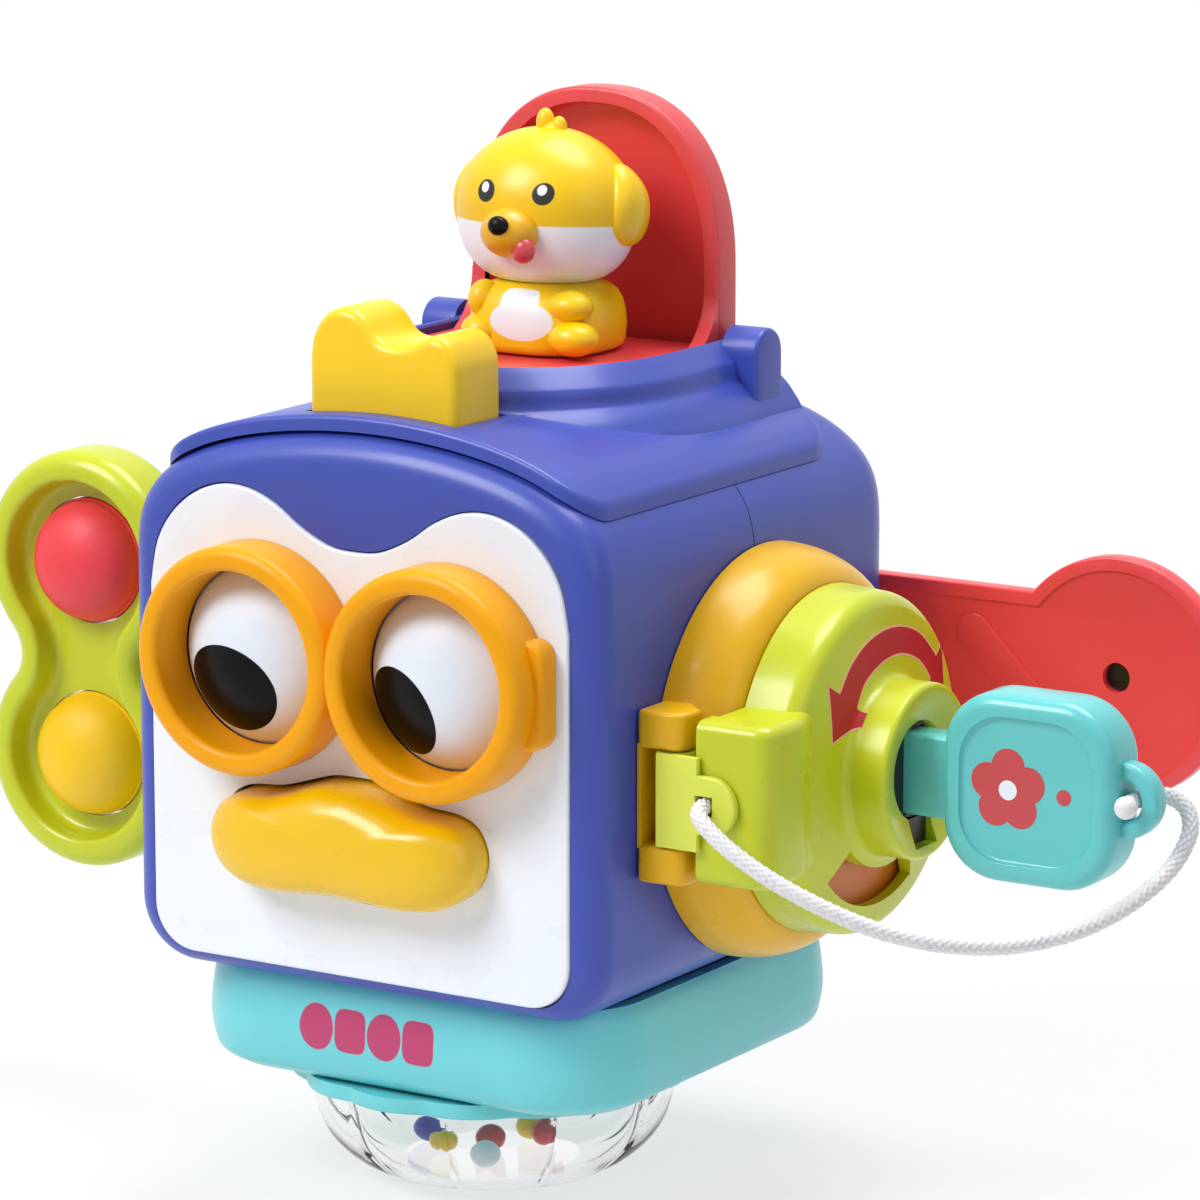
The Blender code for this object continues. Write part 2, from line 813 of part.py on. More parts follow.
def make_rear_shell():
    shell = body_form("rear_shell", 0.0, 0.0)
    cut(shell, body_form("rear_inside", wall, front_wall),
        box("rear_half", (-cube_width, -cube_depth, 0), (cube_width, gap / 2, collar_z)))
    posts = [rod("post", post_radius, (x, gap / 2, z), (x, half_depth - wall / 2, z), 12)
             for x, z in post_places]
    join(shell, cluster("rear_posts", posts), cluster("flap_lugs", [flap_lug(-1), flap_lug(1)]))
    holes = []
    for x, z in post_places:
        holes.append(rod("screw_well", screw_head_radius + gap, (x, screw_seat_y, z),
                         (x, half_depth + overrun, z), 12))
    for x, y in tray_post_places:
        if y > 0:
            holes.append(rod("tray_pilot", screw_radius + gap, (x, y, body_floor_z - overrun),
                             (x, y, body_floor_z + wall + overrun), 10))
    shanks = [rod("shank_hole", screw_radius + gap, (x, -overrun, z), (x, screw_seat_y + overrun, z), 10)
              for x, z in post_places]
    cut(shell, cluster("rear_holes", holes), cluster("rear_shanks", shanks),
        flap_pin_hole("flap_pin_bore"), top_opening("rear_top_opening"),
        side_hole("rear_left_hole", -1), side_hole("rear_right_hole", 1))
    finish(shell, BLUE, roughness=0.32)


def screw(name, center, way, reach):
    """Pan-head screw; centre is under its head and way points from head to tip."""
    way = Vector(way)
    center = Vector(center)
    profile = [(0.0, -screw_head_height), (screw_head_radius * 0.7, -screw_head_height),
               (screw_head_radius, -screw_head_height / 2), (screw_head_radius, 0.0),
               (screw_radius, 0.0), (screw_radius, reach - screw_radius), (0.0, reach)]
    item = turned(name, profile, (0, 0, 0), "Z", 8, closed=False)
    turn = Vector((0, 0, 1)).rotation_difference(way).to_matrix().to_4x4()
    item.data.transform(Matrix.Translation(center) @ turn)
    finish(item, STEEL, roughness=0.3, metallic=1.0)


def make_screws():
    for number, (x, z) in enumerate(post_places, 1):
        screw("housing_screw_%d" % number, (x, screw_seat_y + gap, z), (0, -1, 0),
              screw_seat_y + screw_reach)
    seat = body_floor_z - gap - tray_height / 3
    for number, (x, y) in enumerate(tray_post_places, 1):
        screw("tray_screw_%d" % number, (x, y, seat - gap), (0, 0, 1), tray_height / 3 + tray_screw_reach)


# Face

def make_face_plate():
    plate = prism("face_plate", plate_outline(), plate_front_y, plate_front_y + plate_thickness, "Y")
    hole = prism("plate_beak_hole", beak_outline(slide_gap), plate_front_y - overrun,
                 plate_front_y + plate_thickness + overrun, "Y")
    eyes = eye_cutters(plate_hole_radius, plate_front_y - overrun, front_y + front_wall)
    cut(plate, cluster("plate_eye_holes", eyes), hole)
    finish(plate, WHITE, roughness=0.3)


def make_glasses():
    back = plate_front_y - gap
    front = back - ring_depth
    profile = [(ring_outer, back), (ring_outer, front + ring_round),
               (ring_outer - ring_round / 3, front + ring_round / 3), (ring_outer - ring_round, front),
               (ring_inner + ring_round / 2, front), (ring_inner, front + ring_round / 2),
               (ring_inner, back)]
    left = turned("glasses_frame", profile, (-eye_half_spacing, 0, eye_z), "Y", 28)
    right = turned("right_ring", profile, (eye_half_spacing, 0, eye_z), "Y", 28)
    stubs = []
    inner = eye_half_spacing + ring_outer - (ring_outer - ring_inner) / 2
    middle = eye_z + temple_rise
    for side in (-1, 1):
        near, far = sorted((side * inner, side * temple_reach))
        stubs.append(box("temple", (near, back - temple_depth, middle - temple_half_height),
                         (far, back, middle + temple_half_height)))
    join(left, right, cluster("temples", stubs))
    finish(left, ORANGE, roughness=0.28)


def gaze(yaw):
    """Unit vector from an eye's centre to its pupil."""
    flat = math.cos(gaze_pitch)
    return Vector((flat * math.sin(yaw), -flat * math.cos(yaw), math.sin(gaze_pitch)))


def make_eye(name, side, yaw):
    center = Vector(eye_place(side))
    look = gaze(yaw)
    globe = ball(name + "_eyeball", center, (eye_radius,) * 3, 20, 12)
    reach = Vector((0, 0, eye_radius + trunnion_reach))
    pocket_floor = math.sqrt(eye_radius ** 2 - pupil_radius ** 2) - pupil_thickness
    join(globe, rod(name + "_axle", trunnion_radius, center - reach, center + reach, 12))
    cut(globe, rod(name + "_pocket", pupil_radius + gap, center + look * (pocket_floor - gap),
                   center + look * (eye_radius + overrun), 24))
    finish(globe, WHITE, center, roughness=0.12)
    profile = [(0.0, pocket_floor), (pupil_radius, pocket_floor)]
    for share in (1.0, 0.7, 0.4):
        radius = pupil_radius * share
        profile.append((radius, math.sqrt(eye_radius ** 2 - radius ** 2)))
    profile.append((0.0, eye_radius))
    pupil = turned(name + "_pupil", profile, (0, 0, 0), "Z", 20, closed=False)
    turn = Vector((0, 0, 1)).rotation_difference(look).to_matrix().to_4x4()
    pupil.data.transform(Matrix.Translation(center) @ turn)
    finish(pupil, BLACK, center, roughness=0.1)


def make_eye_carrier():
    """C-shaped holder behind the face: two shelves for the eyes' axles and a back for the squeaker."""
    top = eye_z + eye_radius + carrier_play
    bottom = eye_z - eye_radius - carrier_play
    back = eye_y + eye_radius + carrier_back_play
    front_top = front_y + front_wall + gap
    front_low = front_y + front_wall + gap + beak_flange + beak_travel + slide_gap
    low = eye_z - carrier_drop
    outline = [(front_top, top), (back, top), (back, bottom), (front_low, bottom),
               (front_low, bottom - carrier_thickness), (back, bottom - carrier_thickness), (back, low),
               (back + carrier_thickness, low), (back + carrier_thickness, top + carrier_thickness),
               (front_top, top + carrier_thickness)]
    carrier = prism("eye_carrier", outline, -carrier_half_width, carrier_half_width, "X")
    bores = []
    reach = Vector((0, 0, eye_radius + carrier_play + carrier_thickness + overrun))
    for side in (-1, 1):
        center = Vector(eye_place(side))
        bores.append(rod("axle_bore", trunnion_radius + gap, center - reach, center + reach, 12))
    cut(carrier, cluster("axle_bores", bores))
    finish(carrier, WHITE, roughness=0.4)


def make_beak():
    inside = front_y + front_wall + gap
    wide = beak_outline(beak_flange)
    plain = beak_outline()
    sections = [[(x, inside + beak_flange, z) for x, z in wide], [(x, inside, z) for x, z in wide],
                [(x, inside, z) for x, z in plain], [(x, plate_front_y, z) for x, z in plain]]
    for reach, size in beak_swell_shares:
        y = plate_front_y - beak_reach * reach
        middle = beak_z - beak_ridge_drop * reach
        sections.append([(x * size, y, middle + (z - beak_z) * size) for x, z in plain])
    beak = loft("beak", sections)
    finish(beak, YELLOW, (0, front_y, beak_z), roughness=0.3, smooth=60.0)


def make_squeaker():
    start = front_y + front_wall + gap + beak_flange + gap
    end = eye_y + eye_radius + carrier_back_play - gap
    profile = [(0.0, start)]
    for rib in range(squeaker_ribs):
        near = start + (end - start) * rib / squeaker_ribs
        far = start + (end - start) * (rib + 1) / squeaker_ribs
        profile += [(squeaker_waist, near + (far - near) * 0.1), (squeaker_radius, near + (far - near) * 0.4),
                    (squeaker_radius, near + (far - near) * 0.7)]
    profile[1] = (squeaker_waist, start)
    profile += [(squeaker_waist, end), (0.0, end)]
    bellows = turned("beak_squeaker", profile, (0, 0, beak_z), "Y", 16, closed=False)
    finish(bellows, WHITE, roughness=0.6)


# Top

def make_top_cap():
    steps = 18
    lower = []
    upper = []
    for at in range(steps + 1):
        share = math.sin(math.pi / 2 * (2 * at / steps - 1))
        x = cap_half_width * share
        lower.append((x, crown_z(x) + gap))
        upper.append((x, crown_z(x) + gap + cap_lip))
    cap = prism("top_cap", lower + upper[::-1], cap_front_y, cap_rear_y, "Y")
    middle_y = (cap_front_y + cap_rear_y) / 2
    plan = rounded_rectangle(cap_half_width, (cap_rear_y - cap_front_y) / 2, cap_corner, (0, middle_y))
    boolean(cap, prism("cap_plan", plan, side_top_z, collar_z, "Z"), "INTERSECT")
    settle(cap)
    bevel(cap, cap_edge_round, 1, 60.0)
    settle(cap)
    sections = []
    for out, drop in collar_steps:
        line = mouth_outline(out, min(out, collar_rear_limit))
        sections.append([(x, max(y, collar_front_y), collar_z - drop) for x, y in line])
    collar = loft("collar", sections)
    under = [(x, z + gap) for x, z in lower] + [(cap_half_width, body_floor_z), (-cap_half_width, body_floor_z)]
    cut(collar, prism("crown_room", under, -half_depth, half_depth, "Y"))
    settle(collar)
    skirt_line = mouth_outline(mouth_skirt, 0.0)
    skirt_rear = hinge_y + barrel_radius + well_rear_play + well_wall
    skirt_line = [(x, min(y, skirt_rear)) for x, y in skirt_line]
    skirt = prism("mouth_skirt", skirt_line, collar_z - mouth_skirt_drop, side_top_z + crown_rise + cap_lip / 2, "Z")
    ears = []
    for side in (-1, 1):
        top = collar_z + ear_rise
        middle_y = (ear_front_y + ear_rear_y) / 2
        half = (ear_rear_y - ear_front_y) / 2
        low = collar_z - ear_foot
        outline = [(ear_front_y, low), (ear_rear_y, low)] + arc((middle_y, top - half), half, 0, 180, 6)
        near, far = sorted((side * (ear_inner_x - ear_thickness), side * (ear_inner_x + ear_thickness)))
        ears.append(prism("ear", outline, near, far, "X"))
    join(cap, collar, skirt, cluster("ears", ears))
    settle(cap)
    mouth = prism("mouth", mouth_outline(0.0, 0.0), side_top_z, collar_z + ear_rise + overrun, "Z")
    half = (crest_width / 2 + slide_gap, crest_depth / 2 + slide_gap)
    slot = box("crest_slot", (-half[0], crest_center_y - half[1], side_top_z),
               (half[0], crest_center_y + half[1], collar_z + overrun))
    reach = ear_inner_x + ear_thickness - 2 * overrun / 3
    bore = rod("lid_pin_bore", lid_pin_radius + gap, (-reach, hinge_y, hinge_z), (reach, hinge_y, hinge_z), 12)
    cut(cap, mouth, slot, bore)
    finish(cap, BLUE, roughness=0.32)


def well_profile(extra):
    """Side view of the well: a quarter round under the hinge, then the rear wall."""
    radius = lid_length + well_play + extra
    rear = hinge_y + barrel_radius + well_rear_play + extra
    top = collar_z - well_drop
    drop = math.degrees(math.asin((hinge_z - top) / radius))
    line = arc((hinge_y, hinge_z), radius, 180 + drop, 270, 10)
    return line + [(rear, hinge_z - radius), (rear, top)], top


def make_well():
    outer, top = well_profile(well_wall)
    inner, top = well_profile(0.0)
    wide = lid_half_width + well_play
    well = prism("pop_up_well", outer, -wide - well_wall, wide + well_wall, "X")
    inner = [(inner[0][0], top + overrun)] + inner[:-1] + [(inner[-1][0], top + overrun)]
    cut(well, prism("well_inside", inner, -wide, wide, "X"))
    finish(well, RED, roughness=0.4)


def make_crest():
    base = crown_z(crest_width / 2) + gap + cap_lip
    flange_top = crown_z(crest_width / 2 + crest_flange) - gap
    top = smooth_line([(run * crest_width, base + rise * crest_height) for run, rise in crest_shares], False)
    outline = [(crest_width / 2, base - crest_skirt)] + [(-crest_width / 2, base - crest_skirt)] + top
    near = crest_center_y - crest_depth / 2
    far = crest_center_y + crest_depth / 2
    crest = prism("crown_button", outline, near, far, "Y")
    bevel(crest, crest_edge, 2, 60.0)
    settle(crest)
    low = flange_top - crest_flange_thickness
    half_x = crest_width / 2
    skirt = box("skirt", (-half_x, near, low + crest_flange_thickness / 2), (half_x, far, base))
    flange = box("flange", (-half_x - crest_flange, near - crest_flange / 2, low),
                 (half_x + crest_flange, far + crest_flange / 2, flange_top))
    stem = rod("stem", crest_stem_radius, (0, crest_center_y, low - crest_stem_length),
               (0, crest_center_y, low + crest_flange_thickness / 2), 12)
    join(crest, skirt, flange, stem)
    finish(crest, YELLOW, (0, crest_center_y, base), roughness=0.3)


def make_crest_spring():
    seat = eye_z + eye_radius + carrier_play + carrier_thickness + gap
    flange_low = crown_z(crest_width / 2 + crest_flange) - gap - crest_flange_thickness
    length = flange_low - gap - seat - 2 * spring_wire
    points = helix((0, crest_center_y, seat + spring_wire), crest_spring_radius, length, crest_spring_turns, "Z")
    spring = tube("crown_spring", points, spring_wire, 1)
    finish(spring, STEEL, roughness=0.3, metallic=1.0)


def make_lid():
    arch_front = hinge_y - gap
    arch = prism("pop_up_lid", [(x, hinge_z + lid_floor_lift + up) for x, up in lid_outline()],
                 arch_front, arch_front + lid_depth, "Y")
    inner = [(x, hinge_z + lid_floor_lift + up) for x, up in lid_outline(-lid_rim)]
    dish = prism("lid_dish", inner, arch_front - overrun, arch_front + lid_depth - lid_back, "Y")
    cut(arch, dish)
    settle(arch)
    plan = [(x, arch_front - up * (lid_length - overrun / 4) / lid_length) for x, up in lid_outline()]
    plan = [(lid_half_width, arch_front + lid_depth / 2)] + plan + [(-lid_half_width, arch_front + lid_depth / 2)]
    floor = prism("lid_floor", plan, hinge_z + lid_floor_lift, lid_floor_top, "Z")
    sides = []
    for side in (-1, 1):
        corner = (arch_front + lid_rim / 2, lid_floor_top - lid_floor / 2)
        line = [corner]
        for at in range(7):
            angle = math.pi / 2 * at / 6
            line.append((corner[0] - lid_gusset_run * (1 - math.sin(angle)),
                         corner[1] + lid_gusset_height * (1 - math.cos(angle))))
        near, far = sorted((side * (lid_half_width - lid_rim), side * (lid_half_width - gap / 2)))
        sides.append(prism("gusset", line, near, far, "X"))
    barrels = [rod("barrel", barrel_radius, (side * barrel_split, hinge_y, hinge_z),
                   (side * (lid_half_width - gap), hinge_y, hinge_z), 14) for side in (-1, 1)]
    join(arch, floor, cluster("gussets", sides), cluster("barrels", barrels))
    settle(arch)
    bore = rod("barrel_bore", lid_pin_radius + gap, (-lid_half_width - overrun, hinge_y, hinge_z),
               (lid_half_width + overrun, hinge_y, hinge_z), 12)
    room = rod("spring_room", lid_spring_radius + spring_wire + gap, (-barrel_split, hinge_y, hinge_z),
               (barrel_split, hinge_y, hinge_z), 14)
    cut(arch, bore, room)
    finish(arch, RED, (0, hinge_y, hinge_z), roughness=0.35)
    reach = ear_inner_x + ear_thickness - 2 * overrun / 3 - gap
    pin = rod("lid_hinge_pin", lid_pin_radius, (-reach, hinge_y, hinge_z), (reach, hinge_y, hinge_z), 12)
    finish(pin, STEEL, roughness=0.3, metallic=1.0)
    span = 2 * (barrel_split - gap - spring_wire)
    points = helix((-span / 2, hinge_y, hinge_z), lid_spring_radius, span, lid_spring_turns, "X")
    finish(tube("lid_spring", points, spring_wire, 1), STEEL, roughness=0.3, metallic=1.0)


def make_puppy():
    base = lid_floor_top + gap
    torso_top = base + torso_height
    ring = rounded_rectangle(torso_half_width, torso_half_depth, torso_half_depth * 0.8, (0, torso_y), 4)
    sections = []
    for size, share in ((0.84, 0.0), (0.97, 0.08), (1.0, 0.30), (0.93, 0.72), (0.80, 1.0)):
        sections.append([(x * size, torso_y + (y - torso_y) * size, base + torso_height * share)
                         for x, y in ring])
    body = loft("puppy_body", sections)
    limbs = []
    low = base + snout_radius * 0.6
    for side in (-1, 1):
        foot = (side * torso_half_width * 0.62, torso_y - torso_half_depth * 0.95, low)
        limbs.append(ball("foot", foot, (snout_radius * 0.62, snout_radius * 0.72, snout_radius * 0.58), 10, 6))
    join(body, cluster("feet", limbs))
    arms = []
    for side in (-1, 1):
        hand = (side * torso_half_width * 0.72, torso_y - torso_half_depth * 0.62, base + torso_height * 0.66)
        arms.append(ball("arm", hand, (snout_radius * 0.52, snout_radius * 0.85, snout_radius * 0.45), 10, 6))
    join(body, cluster("arms", arms))
    origin = (0, hinge_y, hinge_z)
    center = Vector((0, head_y, hinge_z + head_rise))
    settle(body)
    cut(body, ball("head_room", center, (head_half_width + gap, head_half_depth + gap, head_half_height + gap),
                   18, 12))
    finish(body, YELLOW, origin, roughness=0.35, smooth=50.0)
    head = ball("puppy_head", center, (head_half_width, head_half_depth, head_half_height), 18, 12)
    nose = center + Vector((0, -head_half_depth * 0.92, -head_half_height * 0.08))
    ears = []
    for side in (-1, 1):
        hang = center + Vector((side * head_half_width * 0.98, dog_ear_radius * 0.4, -head_half_height * 0.02))
        ears.append(ball("dog_ear", hang, (dog_ear_radius * 0.55, dog_ear_radius * 0.72, dog_ear_radius * 1.1),
                         10, 8))
    tufts = [ball("tuft", center + Vector((shift * tuft_radius, tuft_radius, head_half_height)),
                  (tuft_radius * 0.8, tuft_radius * 0.7, tuft_radius * 1.2), 10, 6) for shift in (-0.9,)]
    join(head, ball("snout", nose, (snout_radius * 1.1, snout_radius, snout_radius * 0.85), 12, 8),
         cluster("dog_ears", ears), cluster("tufts", tufts))
    finish(head, YELLOW, origin, roughness=0.35, smooth=50.0)


# Lock on the right side

def make_lock_ring():
    face = half_width + gap
    front = face + lock_flange_depth
    back = half_width - pocket_depth
    outer = lock_bore_radius + pocket_wall
    bulge = lock_flange_radius - outer
    profile = [(0.0, back), (outer, back), (outer, face), (lock_flange_radius, face)]
    for at in range(1, 6):
        angle = math.pi / 2 * at / 5
        profile.append((outer + bulge * math.cos(angle), face + lock_flange_depth * math.sin(angle)))
    profile.append((0.0, front))
    ring = turned("lock_ring", profile, (0, side_axis_y, side_axis_z), "X", 36, closed=False)
    reach = face + bracket_reach
    low = side_axis_z - bracket_half_height
    high = side_axis_z + bracket_half_height
    plan = [(face, bracket_front_y + 2 * gap), (face, door_pin_y + 2 * door_knuckle_radius)]
    plan += [(door_pin_x, door_pin_y + 2 * door_knuckle_radius)]
    plan += arc((door_pin_x, door_pin_y), bracket_reach - door_pin_x + face, 30, -90, 5)
    bracket = prism("bracket", plan, low, high, "Z")
    join(ring, bracket)
    settle(ring)
    clearing = rod("pocket", lock_bore_radius, (back + pocket_wall, side_axis_y, side_axis_z),
                   (front + overrun, side_axis_y, side_axis_z), 36)
    notch = box("knuckle_room", (face + bracket_back, bracket_front_y - overrun, low + bracket_arm),
                (door_pin_x + bracket_reach, door_pin_y + 3 * door_knuckle_radius, high - bracket_arm))
    pin = rod("door_pin_bore", door_pin_radius + gap, (door_pin_x, door_pin_y, low + bracket_arm / 4),
              (door_pin_x, door_pin_y, high - bracket_arm / 4), 12)
    cut(ring, clearing, notch, pin)
    finish(ring, YELLOW, roughness=0.25)
    pin = rod("lock_hinge_pin", door_pin_radius, (door_pin_x, door_pin_y, low + bracket_arm / 4 + gap),
              (door_pin_x, door_pin_y, high - bracket_arm / 4 - gap), 12)
    finish(pin, STEEL, roughness=0.3, metallic=1.0)


def window_outline():
    """The arc window under the hub, as (y, z)."""
    center = (side_axis_y, side_axis_z)
    start = math.degrees(window_start)
    end = math.degrees(window_end)
    return arc(center, window_outer, start, end, 8) + arc(center, window_inner, end, start, 8)


def make_lock_door():
    back = door_back_x
    rim = back + door_thickness
    front = door_front_x
    hub = hub_front_x
    inner = door_back_radius - door_wall
    profile = [(keyhole_radius, back), (door_back_radius, back),
               (door_front_radius + door_round * 0.1, rim - door_round)]
    profile += arc((door_front_radius - door_round, rim - door_round), door_round, 0, 75, 3)
    profile += [(hub_radius + door_dome * 1.4, front - door_dome * 0.25), (hub_radius + door_dome * 0.5, front),
                (hub_radius, front + door_dome * 0.6), (hub_radius, hub - door_dome * 0.3),
                (hub_radius - door_dome * 0.3, hub), (keyhole_radius, hub)]
    door = turned("lock_door", profile, (0, side_axis_y, side_axis_z), "X", 36)
    block_near = door_back_x - block_lead
    plan = [(door_back_x, block_rear_y), (door_back_x, block_lead_y), (block_near, block_lead_y),
            (block_near, block_front_y)]
    plan += arc((block_near + block_reach - block_round, block_front_y + block_round), block_round, -90, 0, 4)
    plan += [(block_near + block_reach, block_rear_y)]
    block = prism("block", plan, side_axis_z - block_half_height, side_axis_z + block_half_height, "Z")
    join(door, block)
    settle(door)
    room = turned("door_room", [(0.0, back - overrun), (inner, back - overrun), (inner, rim - door_wall),
                                (keyhole_radius, front - door_wall), (0.0, front - door_wall)],
                  (0, side_axis_y, side_axis_z), "X", 36, closed=False)
    slot = box("keyhole_slot", (hub - keyhole_depth, side_axis_y - keyslot_half_width, side_axis_z - keyslot_drop),
               (hub + overrun, side_axis_y + keyslot_half_width, side_axis_z))
    window = prism("window", window_outline(), rim - 3 * door_wall, front + overrun, "X")
    socket_z = cord_hole / 2 + gap
    socket = box("cord_socket", (tab_hole_x() - socket_z, block_front_y - overrun, side_axis_z - socket_z),
                 (tab_hole_x() + socket_z, block_front_y + cord_hole, side_axis_z + socket_z))
    cut(door, room, slot, window, socket)
    finish(door, LIME, (door_pin_x, door_pin_y, side_axis_z), roughness=0.25)


def tab_hole_x():
    return door_back_x + cord_hole / 3


def make_hinge_knuckle():
    """Pale plate on the block: the barrel between the bracket's arms and the tab that holds the cord."""
    low = side_axis_z - bracket_half_height + bracket_arm + gap
    high = side_axis_z + bracket_half_height - bracket_arm - gap
    front = block_front_y - gap - tab_thickness
    face = block_front_y - gap
    barrel = rod("hinge_knuckle", door_knuckle_radius, (door_pin_x, door_pin_y, low),
                 (door_pin_x, door_pin_y, high), 20)
    near = door_back_x - block_lead - gap
    plate = box("knuckle_plate", (door_pin_x - door_knuckle_radius / 2, front, low), (near, door_pin_y, high))
    strip = box("knuckle_strip", (near - tab_thickness, front, low), (near + tab_thickness, face, high))
    tab_end = door_back_x + tab_length - tab_half_height
    outline = [(near - tab_thickness / 2, side_axis_z - tab_half_height)]
    outline += arc((tab_end, side_axis_z), tab_half_height, -90, 90, 8)
    outline += [(near - tab_thickness / 2, side_axis_z + tab_half_height)]
    join(barrel, plate, strip, prism("tab", outline, front, face, "Y"))
    settle(barrel)
    pin = rod("knuckle_bore", door_pin_radius + gap, (door_pin_x, door_pin_y, low - overrun),
              (door_pin_x, door_pin_y, high + overrun), 12)
    half = cord_hole / 2
    hole = box("tab_hole", (tab_hole_x() - half, front - overrun, side_axis_z - half),
               (tab_hole_x() + half, face + overrun, side_axis_z + half))
    cut(barrel, pin, hole)
    finish(barrel, PALE_LIME, (door_pin_x, door_pin_y, side_axis_z), roughness=0.3)


def make_lock_cylinder():
    """Rotor behind the keyhole with the coloured disc and the tongue that locks the door."""
    back = door_back_x + gap
    front = hub_front_x - keyhole_depth
    disc_x = door_back_x + door_thickness - door_wall - gap - disc_thickness
    rotor = rod("lock_cylinder", rotor_radius, (back - overrun, side_axis_y, side_axis_z),
                (front, side_axis_y, side_axis_z), 28)
    half = (key_half_thickness + gap, key_half_height + gap)
    slot = box("key_slot", (key_head_x - key_shank - key_insert - gap, side_axis_y - half[0], side_axis_z - half[1]),
               (front + overrun, side_axis_y + half[0], side_axis_z + half[1]))
    cut(rotor, slot)
    finish(rotor, BLACK, (front, side_axis_y, side_axis_z), roughness=0.4)
    disc = rod("lock_disc", disc_radius, (disc_x, side_axis_y, side_axis_z),
               (disc_x + disc_thickness, side_axis_y, side_axis_z), 36)
    bore = rod("disc_bore", rotor_radius + gap, (disc_x - overrun, side_axis_y, side_axis_z),
               (disc_x + disc_thickness + overrun, side_axis_y, side_axis_z), 28)
    cut(disc, bore)
    finish(disc, ORANGE, (front, side_axis_y, side_axis_z), roughness=0.35)
    near = back - 2 * overrun
    tongue = rod("lock_tongue", rotor_radius, (near, side_axis_y, side_axis_z),
                 (back - overrun - gap, side_axis_y, side_axis_z), 20)
    bar = box("tongue_bar", (near, side_axis_y - tongue_half_width, side_axis_z - tongue_reach),
              (back - overrun - gap, side_axis_y + tongue_half_width, side_axis_z))
    join(tongue, bar)
    finish(tongue, WHITE, (front, side_axis_y, side_axis_z), roughness=0.4)


def make_key():
    start = key_head_x - key_shank - key_insert
    shank = box("key", (start, side_axis_y - key_half_thickness, side_axis_z - key_half_height),
                (key_head_x + key_panel_inset, side_axis_y + key_half_thickness, side_axis_z + key_half_height))
    bevel(shank, key_half_thickness / 4, 1)
    settle(shank)
    half = key_head / 2
    middle = (key_head_x + half, side_axis_z)
    thick = key_head_thickness / 2
    head = prism("key_head", rounded_rectangle(half, half, key_head_corner, middle, 5),
                 side_axis_y - thick, side_axis_y + thick, "Y")
    bevel(head, key_head_edge, 2, 60.0)
    settle(head)
    inner = half - key_panel_inset
    outline = rounded_rectangle(inner, inner, key_head_corner - key_panel_inset / 2, middle, 5)
    panels = [prism("panel", outline, side_axis_y - thick - overrun, side_axis_y - thick + key_panel_depth, "Y"),
              prism("panel", outline, side_axis_y + thick - key_panel_depth, side_axis_y + thick + overrun, "Y")]
    end = key_head_x + key_head
    loop_points = [(end - key_head_edge, side_axis_y, side_axis_z - key_loop_radius)]
    loop_points += [(x, side_axis_y, z) for x, z in arc((end, side_axis_z), key_loop_radius, -90, 90, 8)]
    loop_points += [(end - key_head_edge, side_axis_y, side_axis_z + key_loop_radius)]
    loop = tube("key_loop", loop_points, key_loop_wire, 2)
    join(shank, head)
    cut(shank, cluster("panels", panels))
    join(shank, loop)
    finish(shank, TEAL, (key_head_x, side_axis_y, side_axis_z), roughness=0.35)


def make_cord():
    cord = tube("key_cord", smooth_line(cord_route, False, 2), cord_radius, 1)
    join(cord, ball("knot", cord_route[-1], (knot_radius,) * 3, 10, 8))
    finish(cord, CORD_WHITE, roughness=0.9)


# Wind-up handle on the left side

def bow_outline(grow=0.0, steps=7):
    """Figure of eight round the two bubbles, as (x, z), with a rounded waist."""
    radius = bow_radius + grow
    waist = bow_waist + grow
    # The waist arc touches both lobes from outside
    spread = (bow_half_spacing ** 2 - radius ** 2 + waist ** 2) / (2 * (radius - waist))
    turn = math.degrees(math.atan2(bow_half_spacing, waist + spread))
    high = (bow_x, side_axis_z + bow_half_spacing)
    low = (bow_x, side_axis_z - bow_half_spacing)
    out = arc(high, radius, -turn, 180 + turn, 2 * steps)
    out += arc((bow_x - waist - spread, side_axis_z), spread, turn, -turn, steps // 2)[1:-1]
    out += arc(low, radius, 180 - turn, 360 + turn, 2 * steps)
    out += arc((bow_x + waist + spread, side_axis_z), spread, 180 + turn, 180 - turn, steps // 2)[1:-1]
    return out


def bubble_places():
    return [(bow_x, side_axis_y, side_axis_z + side * bow_half_spacing) for side in (1, -1)]


